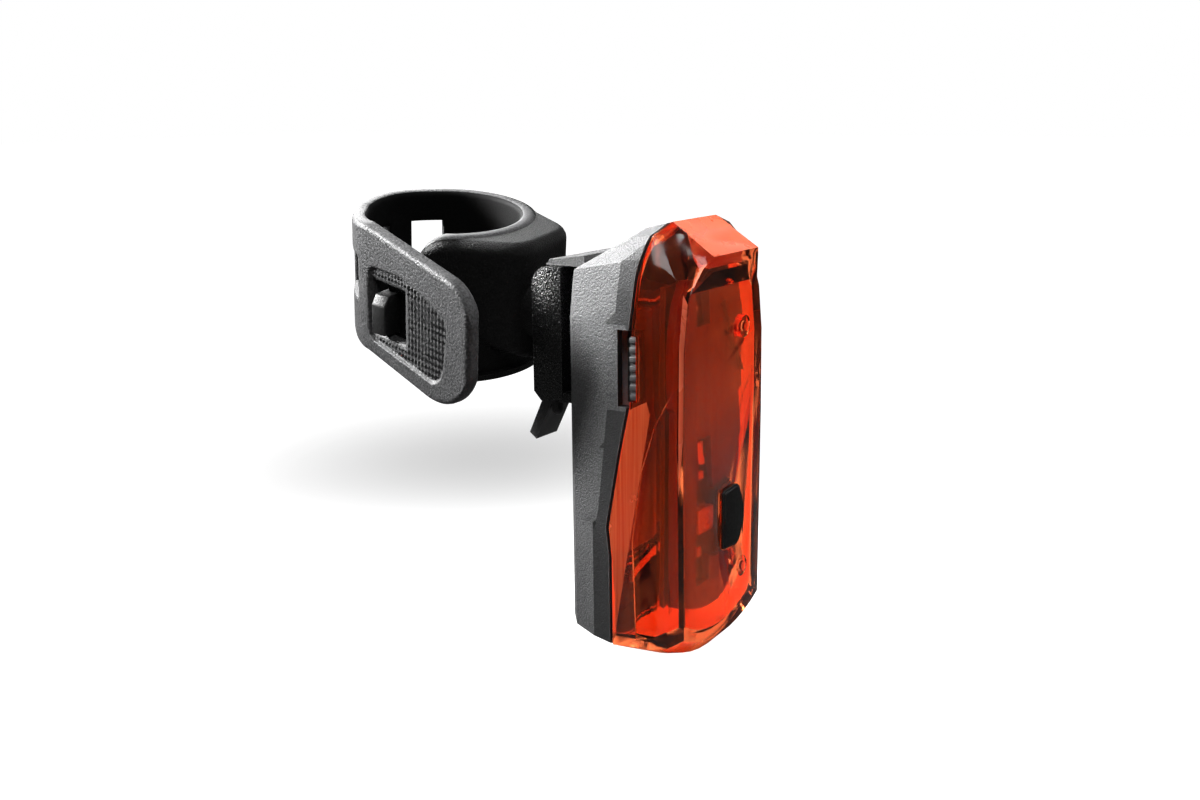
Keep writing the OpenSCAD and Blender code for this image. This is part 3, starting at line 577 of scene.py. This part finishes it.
# %% Copy the housing and give its flanks their crease
# Depth and height of the crease's corners, its greatest reach from the middle, and its push.
CREASE = ((17.9, -6.0), (17.9, 19.0), (16.4, 33.0), (14.9, 40.0), (14.9, 55.0), (13.2, 66.0))
CREASE_REACH, CREASE_PUSH = 15.66, 0.62


def cut_crease(piece):
    """Bisects the flanks along the crease, band by band, and pushes its points outwards."""
    for y, z in CREASE[1:]:
        edit(piece, "VERT")
        cut_across(head(0, y, z), (0, 0, 1))
        leave()
    for (y0, z0), (y1, z1) in zip(CREASE, CREASE[1:]):
        edit(piece, "FACE")
        low, high = head(0, 0, z0).z, head(0, 0, z1).z
        select_where(piece, "faces", lambda f, m: low < m.z < high and abs(m.x - HEAD_AT.x * MM) > 13.2 * MM
                     and abs(f.normal.x) > 0.5)
        bpy.ops.mesh.bisect(plane_co=head(0, y0, z0), plane_no=(0, z1 - z0, y0 - y1))
        leave()
    moved = 0
    for v in piece.data.vertices:
        place = v.co / MM - HEAD_AT
        line = np.interp(place.z, [c[1] for c in CREASE], [c[0] for c in CREASE])
        if abs(place.y - line) < 0.02 and abs(place.x) > 14.5 and place.z < 65:
            out = min(CREASE_REACH - abs(place.x), CREASE_PUSH * min(1, (66 - place.z) / 12))
            v.co.x += math.copysign(max(0, out) * MM, place.x)
            moved += 1
    print("crease points moved:", moved)


def moulded_housing():
    piece = moulded("rear_housing", "housing_shell", 0)
    cut_crease(piece)
    apply_modifier(piece, "BEVEL", width=0.22 * MM, segments=2, limit_method="ANGLE",
                   angle_limit=EDGE_ANGLE, use_clamp_overlap=True)
    smooth(piece, 9)
    return piece


print("corners of the crease:", len(CREASE))

# %% [markdown]
# The housing gets three materials: its grey, a near black inside the notches as painted shade for the
# shadow in them, and a darker grey on the strip in front of the crease as painted shade for the side
# that turns away from the lamps. A latch tongue sits in the notch of each side, and a black seal lies
# between the housing and the lens.

# %% Dress the housing
housing = finish(moulded_housing(), housing_grey, "head")
low, high = head(0, 9, 40.5), head(0, 14.4, 54.5)


def in_notch(f, m):
    side = abs(m.x - HEAD_AT.x * MM)
    within = low.y < m.y < high.y and low.z < m.z < high.z
    return within and side > 11.6 * MM and not (abs(f.normal.x) > 0.9 and side > 15.3 * MM)


def before_crease(f, m):
    place = m / MM - HEAD_AT
    line = np.interp(place.z, [c[1] for c in CREASE], [c[0] for c in CREASE])
    in_pit = low.y < m.y < high.y and low.z < m.z < high.z
    return abs(place.x) > 13.9 and place.y < line and place.z < 66 and abs(f.normal.x) > 0.7 and not in_pit


housing.data.materials.append(notch_painted_shade)
housing.data.materials.append(crease_strip_painted_shade)
# Painted shade: the notch walls and the strip in front of the crease get darker materials.
give_slot(housing, 1, in_notch)
give_slot(housing, 2, before_crease)
finish(moulded("latch_left", "latch_tongue_left", 0.15), latch_grey, "latch_left")
finish(moulded("latch_right", "latch_tongue_right", 0.15), latch_grey, "latch_right")
finish(moulded("housing_seal", "seal_strips", 0.08), seal_black, "head")

# %% [markdown]
# ## Lens shell
# The lens is one moulded shell: a face, two flanks with a raised flange strip along the parting line,
# and a roof that stands forward over the face. Its edges are bevelled a little more than the
# housing's, because clear parts are moulded with softer corners. Three zones have their own finish:
# the pane on the roof, the lower part of the flange strips, and the thin ridge between the face and
# the left flank. Where a zone ends inside a face, the shell is bisected there first.

# %% Dress the lens
lens = finish(moulded("lens", "lens_shell", 0.28, 3), lens_red, "lens_unit")
lens.data.materials.append(lens_pane)
lens.data.materials.append(lens_strip)
lens_low, lens_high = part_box("lens")
half_width = (lens_high.x - lens_low.x) / 2
centre_x = (lens_high.x + lens_low.x) / 2
top = lens_high.z
FLANGE_DEPTH, FLANGE_TOP, FLANGE_FALL = 12, 39.5, 0.5
RIDGE_DEPTH, RIDGE_FROM, RIDGE_TO = 0.8, 24, 60
flange_line = head(0, FLANGE_DEPTH, FLANGE_TOP)


def on_roof(f, m):
    return f.normal.z > 0.45 and m.z > top - 6.5 * MM and abs(m.x - centre_x) < 8.3 * MM


def on_flange(f, m):
    below = m.z + FLANGE_FALL * m.y < flange_line.z + FLANGE_FALL * flange_line.y
    return abs(m.x - centre_x) > half_width - 0.45 * MM and m.y > head(0, 8, 0).y and below


def on_ridge(f, m):
    in_reach = head(0, 0, RIDGE_FROM).z < m.z < head(0, 0, RIDGE_TO).z
    return f.normal.x < -0.25 and m.y < head(0, RIDGE_DEPTH, 0).y and in_reach and f.calc_area() < 16e-6


give_slot(lens, 1, on_roof)
edit(lens, "VERT")
cut_across(flange_line, (0, FLANGE_FALL, 1))
cut_across(head(0, RIDGE_DEPTH, 0), (0, 1, 0))
leave()
give_slot(lens, 2, on_flange)
give_slot(lens, 1, on_ridge)

# %% [markdown]
# ## Inside the lens
# A carrier plate holds the circuit board behind the face. It has windows for the main lamp's optic,
# for the small upper lamp and for the button. The board carries the chips that show as small marks
# through the lens. The plate's right edge is drawn in a little, which leaves a wide bright rim of
# lens beside it.

# %% Dress the inner parts
carrier = finish(moulded("inner_carrier", "carrier_plate", 0.15), carrier_brown, "lens_unit")
RIGHT_EDGE, DRAWN_IN = head(10.5, 0, 0).x, 1.2 * MM
drawn = [v for v in carrier.data.vertices if v.co.x > RIGHT_EDGE]
for v in drawn:
    v.co.x -= DRAWN_IN
print("carrier points drawn in:", len(drawn))
for node, name, radius, material in (("circuit_board", "board_sheet", 0, board_green),
                                     ("led_optic", "lamp_optic", 0.08, optic_clear),
                                     ("main_led", "main_lamp", 0.08, led_clear),
                                     ("standby_led", "small_lamp", 0.08, led_clear),
                                     ("board_components", "board_chips", 0.08, chip_pale),
                                     ("tactile_switch", "push_switch", 0.1, part_black),
                                     ("board_screws", "carrier_screws", 0.08, plated_steel)):
    finish(moulded(node, name, radius), material, "lens_unit")

# %% [markdown]
# ## Button
# The button is a soft black cap in the shape of a D, with its straight side to the left. It stands
# half a millimetre proud of the face and its rim is rounded.

# %% Dress the button
finish(moulded("mode_button", "button_cap", 0.22, 3), button_rubber, "button")

# %% [markdown]
# ## Cells and contacts
# Two small cells stand side by side in the housing, on coil springs and flat contacts. They only show
# when the lens is off.

# %% Dress the cells
for node, name, material in (("battery_cell_left", "cell_left", cell_wrap),
                             ("battery_cell_right", "cell_right", cell_wrap),
                             ("contact_springs", "springs", plated_steel),
                             ("contact_plates", "plates", plated_steel)):
    finish(moulded(node, name, 0.12 if "cell" in node else 0), material, "head")

# %% [markdown]
# ## Bracket, lever and swivel
# The bracket takes the housing's rail from above and a spring lever holds it. The bolt through the
# bracket lets it swivel on the saddle block, where it turns in a brass insert. The peg that the pull
# tab hooks on is part of the strap's side.

# %% Dress the bracket
for node, name, radius, steps, material, body in (
        ("clip_bracket", "bracket_body", 0.4, 3, bracket_black, "clip"),
        ("release_lever", "lever_blade", 0.3, 3, lever_black, "lever"),
        ("lever_pin", "lever_pin_rod", 0.1, 2, plated_steel, "clip"),
        ("swivel_disc", "swivel_washer", 0.1, 2, plated_steel, "clip"),
        ("swivel_bolt", "swivel_screw", 0.1, 2, plated_steel, "clip"),
        ("swivel_insert", "threaded_insert", 0.1, 2, turned_brass, "strap_base"),
        ("hook_peg", "peg_body", 0.3, 3, peg_rubber, "strap_base")):
    finish(moulded(node, name, radius, steps), material, body)

# %% [markdown]
# ## Rubber strap
# The strap is moulded flat and then bent round the post, and it is modelled the same way: a flat grid
# with its outline and slots, given its thickness, and wrapped by one rule that says where each point
# of the flat strip goes. u runs along the strip and counts from where it becomes straight, z runs
# across it, and t is the height above the inner face. The strip lies round the post, climbs over its
# own inner end and runs straight into the pull tab.

# %% The rule that wraps the strip
# Radius of the bore, thickness of the rubber and length of the tab. The strip runs straight from the
# angle STRAIGHT_AT on, counted from x through more than one whole turn, and u is measured at TURN_R.
BORE, THICK, TAB_L = 13.7, 3.0, 28.9
STRAIGHT_AT = 528.0
TURN_R = 20.05
# Room inside the bore, and the two climbs over the inner end: from which angle, over how many degrees
# and by how much. The strip begins at BAND_FROM, and up to ARM_END its top edge rises in a round corner.
ROOM = 0.06
CLIMBS = ((404, 40, 1.3), (486, 42, 2.05))
BAND_FROM, ARM_END, ARM_FALL, ARM_ROUND = 172, 218, 0.29, 6
# Top and foot of the band, how far each moves out over the length WIDENING before the tab, and how
# fast each falls along the tab. Up to the angle SKIRT_TO the foot hangs lower by SKIRT.
BAND_TOP, TOP_OUT, TOP_FALL = 12.25, 1.05, 0.19
BAND_FOOT, FOOT_OUT, FOOT_FALL = -7.65, 4.05, 0.22
WIDENING, SKIRT, SKIRT_TO = 17, 7.45, 322


def ease(t):
    t = np.clip(t, 0, 1)
    return t * t * (3 - 2 * t)


def along(a):
    return math.radians(a - STRAIGHT_AT) * TURN_R


def wrap(u, z, t):
    """Places of flat points in the strap's own frame, in millimetres."""
    a = STRAIGHT_AT + np.degrees(np.minimum(u, 0) / TURN_R)
    inner = BORE + ROOM
    for start, span, rise in CLIMBS:
        inner = inner + rise * ease((a - start) / span)
    r = inner + t
    x = r * np.cos(np.radians(a))
    y = r * np.sin(np.radians(a))
    over = np.maximum(u, 0)
    x = x - math.sin(math.radians(STRAIGHT_AT)) * over
    y = y + math.cos(math.radians(STRAIGHT_AT)) * over
    return x, y, z


def end_corner(u, radius):
    """How far the rounded corner at the tab's end takes an edge in."""
    arc = np.sqrt(np.maximum(0, radius ** 2 - (u - TAB_L + radius) ** 2))
    return np.where(u < TAB_L - radius, 0, radius - arc)


def top_edge(u):
    d = np.clip((ARM_END - STRAIGHT_AT - np.degrees(u / TURN_R)) * ARM_FALL, 0, ARM_ROUND)
    corner = end_corner(u, 6) + ARM_ROUND - np.sqrt(ARM_ROUND ** 2 - d * d)
    return BAND_TOP + TOP_OUT * ease((u + WIDENING) / WIDENING) - TOP_FALL * np.maximum(0, u) - corner


def bottom_edge(u):
    foot = BAND_FOOT - SKIRT * (1 - ease((u - along(SKIRT_TO)) / 3.5))
    foot = foot - FOOT_OUT * ease((u + WIDENING) / WIDENING)
    return foot - FOOT_FALL * np.maximum(0, u) + end_corner(u, 12)


print("strip length:", round(TAB_L - along(BAND_FROM), 1), "mm")

# %% [markdown]
# ## Saddle block
# The saddle block is one soft-edged moulding that hugs the near side of the post: a drum with a lip
# below, and above it a body that reaches forward to the swivel. Three functions say how far it
# reaches from the post's axis at each angle and height, in millimetres. The angle is 180 degrees on
# the left and 270 in front.

# %% Reach of the saddle block
FRONT, ARC_FROM, ARC_TO = 270, 186, 352
FRONT_FLAT = 23.8
CORNER_X, CORNER_Y, CORNER_R, CORNER_FROM, CORNER_TO = 3.4, 17.4, 6.4, 8.1, 24.1
FLANK, FLANK_TURN = 17.3, 63.1
FOOT, TOP, SHOULDER = -15.4, 11.9, 2.0
LIP_R, LIP_TOP, DRUM_R, DRUM_TAPER = 19.7, -14.2, 18.9, 0.9
BODY_HALF, BODY_ROUND, BODY_FOOT = 15.6, 4, -11.5
INNER_WALL, THIN_WALL = 16.75, 16.78


def block_radius(a):
    """Distance of the block's outline from the post's axis at angle a, in degrees."""
    side = abs(a - FRONT)
    if side > FLANK_TURN:
        return FLANK
    if side > CORNER_TO:
        return FLANK / math.cos(math.radians(FLANK_TURN - side))
    if side > CORNER_FROM:
        turn = math.radians(side)
        along_c = CORNER_X * math.sin(turn) + CORNER_Y * math.cos(turn)
        return along_c + math.sqrt(max(0, CORNER_R ** 2 - (CORNER_X ** 2 + CORNER_Y ** 2 - along_c ** 2)))
    return FRONT_FLAT / math.cos(math.radians(side))


def shoulder_drop(a):
    """How far the top edge falls towards the end of the arm under the pull tab."""
    d = min(ARM_ROUND, max(0, (ARM_END - a) * ARM_FALL))
    return ARM_ROUND - math.sqrt(ARM_ROUND ** 2 - d * d)


def wall_radius(a, z, top):
    """Reach of the outer wall at angle a and height z, with a rounded shoulder below the top."""
    drum = LIP_R if z < LIP_TOP else DRUM_R - DRUM_TAPER * float(ease((z - LIP_TOP) / 14))
    wide = BODY_HALF if z > BODY_ROUND else math.sqrt(max(0.01, BODY_HALF ** 2 - (z - BODY_ROUND) ** 2))
    body = min(block_radius(a), wide / max(0.05, abs(math.cos(math.radians(a))))) if z > BODY_FOOT else 0
    over = max(0.0, z - (top - SHOULDER))
    round_top = SHOULDER - math.sqrt(max(0.0, SHOULDER ** 2 - over ** 2))
    fade = min(float(ease((a - ARC_FROM) / 14)), float(ease((ARC_TO - a) / 10)))
    reach = max(drum, body) - round_top
    return THIN_WALL + max(0.06, (reach - THIN_WALL) * (0.12 + 0.88 * fade))


print("reach at the front:", block_radius(FRONT), "at the side:", round(block_radius(200), 2))

# %% [markdown]
# The block is a flat grid wrapped round the post. One direction of the grid runs round the post, and
# the other runs up the outer wall, over the shoulder, down the inner wall and back along the foot.
# Its open ends are filled afterwards.

# %% Wrap the saddle block
levels = [FOOT, -15.2, -14.5, -14.25, -14.1, -13.4] + [-12 + 0.8 * i for i in range(28)]
rise = [0.0, 0.25, 0.5, 0.7, 0.85, 0.95, 1.0]
turns = range(ARC_FROM, ARC_TO + 1, 2)
rows = len(levels) + len(rise) + 4
saddle = new_grid("saddle_body", len(turns) - 1, rows - 1)
for v in saddle.data.vertices:
    a = turns[round((v.co.x + 0.5) * (len(turns) - 1))]
    k = round((v.co.y + 0.5) * (rows - 1))
    top = TOP - shoulder_drop(a)
    if k < len(levels):
        z = min(levels[k], top - SHOULDER)
        r = wall_radius(a, z, top)
    elif k < len(levels) + len(rise):
        z = top - SHOULDER + SHOULDER * math.sin(math.pi / 2 * rise[k - len(levels)])
        r = wall_radius(a, z, top)
    else:
        z = (top, top * 0.5 - 4, FOOT, FOOT)[k - len(levels) - len(rise)]
        r = (INNER_WALL, INNER_WALL, INNER_WALL, wall_radius(a, FOOT, top))[k - len(levels) - len(rise)]
    v.co = strap(r * math.cos(math.radians(a)), r * math.sin(math.radians(a)), z)
edit(saddle, "VERT")
take_all()
bpy.ops.mesh.remove_doubles(threshold=0.004 * MM)
bpy.ops.mesh.select_all(action="DESELECT")
bpy.ops.mesh.select_non_manifold()
bpy.ops.mesh.edge_face_add()
take_all()
bpy.ops.mesh.normals_make_consistent(inside=False)
leave()
smooth(saddle, 40)
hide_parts("saddle_block")
finish(saddle, saddle_black, "strap_base")

# %% [markdown]
# A short cylinder in front of the block is the boss that the bracket turns on. Only its free rim is
# bevelled.

# %% Turn the boss of the swivel
boss_from, boss_to = head(0, 34.66, 55.0), head(0, 40.5, 55.0)
bpy.ops.object.select_all(action="DESELECT")
bpy.ops.mesh.primitive_cylinder_add(vertices=64, radius=7.5 * MM, depth=(boss_to - boss_from).length,
                                    location=(boss_from + boss_to) / 2, rotation=(math.pi / 2, 0, 0))
boss = bpy.context.object
boss.name = "saddle_boss"
bpy.ops.object.transform_apply(location=True, rotation=True, scale=True)
edit(boss, "EDGE")
select_where(boss, "edges", lambda e, m: m.y < boss_from.y + 0.1 * MM and len(e.link_faces) == 2
             and e.calc_face_angle(0) > 0.8)
bpy.ops.mesh.bevel(offset=0.6 * MM, segments=3)
leave()
smooth(boss)
finish(boss, saddle_black, "strap_base")

# %% [markdown]
# ## Flat strip
# Lines of the grid crowd near every border, where the rubber's edge is rounded by lowering the points
# that lie close to it. The slots are holes: their faces are deleted before the strip gets its
# thickness.

# %% Cut the flat strip
# Radius of the rounded border, and how far from a border its grid lines lie.
ROUND = 1.0
CROWD = (0.0, 0.1, 0.3, 0.62, 1.05)
# Foot and top of the band's slots, and start, end, foot and top of the tab's slot.
BAND_SLOT = (-1.4, 6.0)
TAB_SLOT = (1.2, 10.4, -7.2, 2.8)


def lines(low, high, step, near_low=True, near_high=True):
    """Values from low to high, closer together near the ends that are borders."""
    first = [low + c for c in CROWD] if near_low else [low]
    last = [high - c for c in reversed(CROWD)] if near_high else [high]
    count = max(1, round((last[0] - first[-1]) / step))
    middle = [first[-1] + (last[0] - first[-1]) * i / count for i in range(1, count)]
    return first + middle + last


def slot_half(u):
    """Lower and upper line of the slots at u: they pass from the band's row to the tab's slot."""
    w = ease((u + 2.0) / 3.2)
    return [band + (tab - band) * w for band, tab in zip(BAND_SLOT, TAB_SLOT[2:])]


def flat_strip(name, u_lines, across, slots):
    """A flat strip of rubber: across holds the numbers of steps below, in and above the slots."""
    nu, below, inside, above = len(u_lines), *across
    nv = below + inside + above + 1
    piece = new_grid(name, nu - 1, nv - 1)
    count = len(piece.data.vertices)
    flat = np.zeros(count * 3)
    piece.data.vertices.foreach_get("co", flat)
    flat = flat.reshape(-1, 3)
    i = np.rint((flat[:, 0] + 0.5) * (nu - 1)).astype(int)
    j = np.rint((flat[:, 1] + 0.5) * (nv - 1)).astype(int)
    u = np.array(u_lines)[i]
    z = np.zeros(count)
    for k in range(count):
        low, high = slot_half(u[k])
        bottom, top = float(bottom_edge(u[k])), float(top_edge(u[k]))
        low = max(low, bottom + 0.3 * (top - bottom) if bottom > low - 1.5 else low)
        high = min(high, top - 1.5)
        if j[k] <= below:
            z[k] = crowded(bottom, low, j[k], below)
        elif j[k] <= below + inside:
            z[k] = low + (high - low) * (j[k] - below) / inside
        else:
            z[k] = crowded(high, top, j[k] - below - inside, above)
    piece.data.vertices.foreach_set("co", np.column_stack((u, z, np.zeros(count))).ravel())
    piece.data.update()
    edit(piece)
    found = select_where(piece, "faces",
                         lambda f, m: any(s[0] < m.x < s[1] and s[2] < m.y < s[3] for s in slots))
    if found:
        bpy.ops.mesh.delete(type="FACE")
    leave()
    apply_modifier(piece, "SOLIDIFY", thickness=THICK, offset=0)
    return piece


def crowded(low, high, k, n):
    """Step k of n from low to high, with four short steps at each end."""
    short = min(CROWD[-1], 0.25 * (high - low))
    ends = [c / CROWD[-1] * short for c in CROWD]
    if k < 4:
        return low + ends[k]
    if k > n - 4:
        return high - ends[n - k]
    return low + short + (high - low - 2 * short) * (k - 4) / (n - 8)


print("crowded steps:", [round(crowded(0, 5, k, 12), 2) for k in range(13)])

# %% [markdown]
# The rounding and the grip panel are set by how far each point lies from the nearest border. The
# panel is sunk and filled with fine upright ribs that are broken into pips, so that a wet glove does
# not slip.

# %% Round the borders, sink the panel and wrap the strip


PANEL = ((2.0, 5.8), (9.8, 6.0), (15.4, 4.5), (20.4, 2.3), (22.2, 1.2), (23.2, -0.6), (22.8, -4.3),
         (22.2, -8.5), (21.4, -10.8), (20.1, -11.9), (18.5, -12.3), (2.2, -9.2), (0.8, -8.2), (0.8, 4.9))


def panel_depth(u, z):
    """How deep a flat point lies inside the panel's outline, negative outside."""
    far = np.full(u.shape, 1e9)
    within = np.zeros(u.shape, bool)
    for (ax, az), (bx, bz) in zip(PANEL, PANEL[1:] + PANEL[:1]):
        ex, ez = bx - ax, bz - az
        t = np.clip(((u - ax) * ex + (z - az) * ez) / (ex * ex + ez * ez), 0, 1)
        far = np.minimum(far, np.hypot(u - ax - t * ex, z - az - t * ez))
        crosses = ((az > z) != (bz > z)) & (u < (bx - ax) * (z - az) / (bz - az + 1e-12) + ax)
        within ^= crosses
    return np.where(within, far, -far)


def shape_strip(piece, slots, free_end, free_start):
    """Rounds the borders, sinks and ribs the grip panel, and wraps the flat strip round the post."""
    mesh = piece.data
    co = np.zeros(len(mesh.vertices) * 3)
    mesh.vertices.foreach_get("co", co)
    u, z, t = co.reshape(-1, 3).T.copy()
    edge = np.minimum(z - bottom_edge(u), top_edge(u) - z)
    if free_end is not None:
        edge = np.minimum(edge, free_end - u)
    if free_start is not None:
        edge = np.minimum(edge, u - free_start)
    hole = np.full(u.shape, 9.0)
    for s in slots:
        du = np.maximum(np.maximum(s[0] - u, u - s[1]), 0)
        dz = np.maximum(np.maximum(s[2] - z, z - s[3]), 0)
        hole = np.minimum(hole, np.hypot(du, dz))
    edge = np.minimum(edge, hole)
    near = np.clip(ROUND - edge, 0, ROUND)
    lower = ROUND - np.sqrt(np.maximum(0, ROUND ** 2 - near ** 2))
    outer = t > 0
    height = np.where(outer, THICK - lower, lower)
    inside = panel_depth(u, z)
    sunk = 0.6 * ease(inside / 0.5)
    rib = np.sin(2 * math.pi * u / 0.95) * (0.55 + 0.45 * np.sin(2 * math.pi * z / 1.25))
    ribs = 0.26 * rib * ease((inside - 0.5) / 0.4) * ease((hole - 1.0) / 0.5)
    height = np.where(outer & (inside > 0), height - sunk + ribs, height)
    x, y, w = wrap(u, z, height)
    placed = np.array(STRAP_TURN) @ np.vstack((x, y, w)) * MM
    mesh.vertices.foreach_set("co", placed.T.ravel())
    mesh.update()
    edit(piece)
    take_all()
    bpy.ops.mesh.normals_make_consistent(inside=False)
    leave()
    smooth(piece, 50)
    return piece


def faces_post(f, m):
    """Whether a face of the strap looks towards the post."""
    turned = STRAP_TURN.inverted()
    place, side = turned @ m, turned @ f.normal
    reach = Vector((place.x, place.y, 0)).normalized()
    return side.dot(reach) < -0.5


print("corners of the grip panel:", len(PANEL))

# %% [markdown]
# ## Strap loop
# The part that lies round the post ends where the pull tab begins, between two slots. The side that
# faces the post gets a smoother rubber painted deeper black, as painted shade for the inside of the loop.

# %% Make the strap loop
# The tab begins at the angle 484, and the middles of three slots lie at 415, 461 and 506.
SEAM = along(484)
half_slot = math.asin(3.5 / 16.6) * TURN_R
band_slots = [(along(a) - half_slot, along(a) + half_slot, *BAND_SLOT) for a in (415, 461, 506)]
band_lines = lines(along(BAND_FROM), band_slots[0][0], 1.2, False, True)
band_lines += lines(band_slots[0][0], band_slots[0][1], 1.2, False, False)[1:]
band_lines += lines(band_slots[0][1], band_slots[1][0], 0.8)[1:]
band_lines += lines(band_slots[1][0], band_slots[1][1], 1.2, False, False)[1:]
band_lines += lines(band_slots[1][1], SEAM, 0.8, True, False)[1:]
strap_piece = flat_strip("strap_loop", band_lines, (12, 6, 12), band_slots[:2])
strap_piece = shape_strip(strap_piece, band_slots[:2], None, along(BAND_FROM))
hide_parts("strap_band")
finish(strap_piece, strap_rubber, "strap_base")
strap_piece.data.materials.append(smooth_inner_painted_shade)
# Painted shade: the faces towards the post get the deeper black.
give_slot(strap_piece, 1, faces_post)

# %% [markdown]
# ## Pull tab
# The pull tab is the strip's free end. It starts behind the last but one slot and is made by the
# same rule as the loop, as a piece of its own.

# %% Make the pull tab
tab_lines = lines(SEAM, band_slots[2][0], 0.8, False, True)
tab_lines += lines(band_slots[2][0], band_slots[2][1], 0.8, False, False)[1:]
tab_lines += lines(band_slots[2][1], TAB_SLOT[0], 0.25)[1:]
tab_lines += lines(TAB_SLOT[0], TAB_SLOT[1], 0.24, False, False)[1:]
tab_lines += lines(TAB_SLOT[1], TAB_L, 0.24)[1:]
tab_piece = flat_strip("pull_tab_rubber", tab_lines, (34, 22, 46), [band_slots[2], TAB_SLOT])
tab_piece = shape_strip(tab_piece, [band_slots[2], TAB_SLOT], TAB_L, None)
keep_within(tab_piece)
tab_piece.data.materials.clear()
tab_piece.data.materials.append(strap_rubber)
tab_piece.data.materials.append(smooth_inner_painted_shade)
# Painted shade: the faces towards the post get the deeper black.
give_slot(tab_piece, 1, faces_post)
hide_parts("pull_tab")
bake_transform(tab_piece)
print("tab faces:", len(tab_piece.data.polygons))

# %% [markdown]
# ## Table and background
# The background is one sheet of white paper. An emission lifts it for the camera and for what is
# seen through the lens, while other rays meet a dark sheet, so the paper throws little light on the
# piece. In a soft round zone behind the piece the lift is weaker: a painted shadow, in which the real
# shadow of the lamps also shows.

# %% Lay the paper
SHADOW_AT, SHADOW_REACH = (0.085, 0.060, 0), 0.13
floor_z = min(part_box(n)[0].z for n in ("rear_housing", "lens")) - 0.1 * MM
paper = new_grid("paper_floor", 8, 8, 6, (0, 0, floor_z))
material, tree, shader = new_material("paper_white")
fibre = place_group(tree, grain, Scale=900, Dark=(0.36, 0.36, 0.36, 1), Light=(0.38, 0.38, 0.38, 1),
                    Roughness=0.75)
join(tree, fibre, "Roughness", shader, "Roughness")
path = add(tree, "ShaderNodeLightPath")
seen = add(tree, "ShaderNodeMath", operation="MAXIMUM")
join(tree, path, "Is Camera Ray", seen, 0)
join(tree, path, "Is Transmission Ray", seen, 1)
pale = add(tree, "ShaderNodeMix", data_type="RGBA", A=(0.07, 0.07, 0.07, 1))
join(tree, seen, 0, pale, "Factor")
join(tree, fibre, "Color", pale, "B")
join(tree, pale, "Result", shader, "Base Color")
# Painted shadow: the lift falls off towards SHADOW_AT, so the paper is darker in a round patch there.
place = add(tree, "ShaderNodeTexCoord")
away = add(tree, "ShaderNodeVectorMath", operation="DISTANCE")
away.inputs[1].default_value = SHADOW_AT
fade = add(tree, "ShaderNodeMapRange", interpolation_type="SMOOTHSTEP",
           in_1=0.0, in_2=SHADOW_REACH, in_3=0.3, in_4=1.1)
lift = add(tree, "ShaderNodeMath", operation="MULTIPLY")
join(tree, place, "Object", away, 0)
join(tree, away, "Value", fade, 0)
join(tree, path, "Is Camera Ray", lift, 0)
join(tree, fade, 0, lift, 1)
through = add(tree, "ShaderNodeMath", operation="MAXIMUM")
join(tree, lift, 0, through, 0)
join(tree, path, "Is Transmission Ray", through, 1)
join(tree, through, 0, shader, "Emission Strength")
shader.inputs["Emission Color"].default_value = (1, 1, 1, 1)
paper.data.materials.append(material)
print("table at", round(floor_z / MM, 2), "mm")

# %% [markdown]
# ## Light
# The world is white where the camera looks past the paper and nearly dark for other rays. Large soft
# lamps stand behind and above, so the housing is bright at its top and fades downwards. A weak one
# in front opens the strap, and a narrow one that leaves no mirror image lights the roof pane.

# %% Light the table
world = bpy.data.worlds.new("studio")
bpy.context.scene.world = world
world.use_nodes = True
tree = world.node_tree
background = tree.nodes["Background"]
path = add(tree, "ShaderNodeLightPath")
seen = add(tree, "ShaderNodeMath", operation="MAXIMUM")
strength = add(tree, "ShaderNodeMapRange", in_3=0.06, in_4=1.0)
join(tree, path, "Is Camera Ray", seen, 0)
join(tree, path, "Is Transmission Ray", seen, 1)
join(tree, seen, 0, strength, 0)
join(tree, strength, 0, background, "Strength")
background.inputs["Color"].default_value = (1, 1, 1, 1)


def softbox(name, place, aim, width, height, power, spread):
    data = bpy.data.lights.new(name, "AREA")
    data.shape = "RECTANGLE"
    data.size, data.size_y, data.energy = width, height, power
    data.spread = math.radians(spread)
    lamp_object = bpy.data.objects.new(name, data)
    bpy.context.scene.collection.objects.link(lamp_object)
    lamp_object.location = place
    lamp_object.rotation_euler = (Vector(aim) - Vector(place)).to_track_quat("-Z", "Y").to_euler()
    return lamp_object


# Name, place, point aimed at, width, height, power in watts and spread in degrees.
for row in (("window_left_back", (-0.11, 0.25, 0.17), (0, -0.03, 0.05), 0.13, 0.13, 0.50, 38),
            ("above_back", (0.06, 0.18, 0.28), (0, -0.02, 0.0), 0.2, 0.2, 0.25, 110),
            ("behind_right", (0.19, 0.25, 0.15), (0, -0.02, 0.01), 0.16, 0.12, 0.20, 90),
            ("right_high", (0.31, -0.12, 0.18), (0, -0.05, 0.01), 0.2, 0.2, 0.025, 90),
            ("roof_spot", (0.10, -0.22, 0.30), (0, -0.056, 0.022), 0.11, 0.11, 0.060, 16),
            ("front_left", (-0.25, -0.14, 0.26), (0.01, -0.02, -0.02), 0.16, 0.16, 0.08, 80)):
    lamp = softbox(*row)
    lamp.visible_glossy = row[0] != "roof_spot"
print("lamps:", len(bpy.data.lights))

# %% [markdown]
# ## The box of the solids is printed.

# %% Measure and finish
print("cad box", [[round(v / MM, 2) for v in c] for c in cad_box])
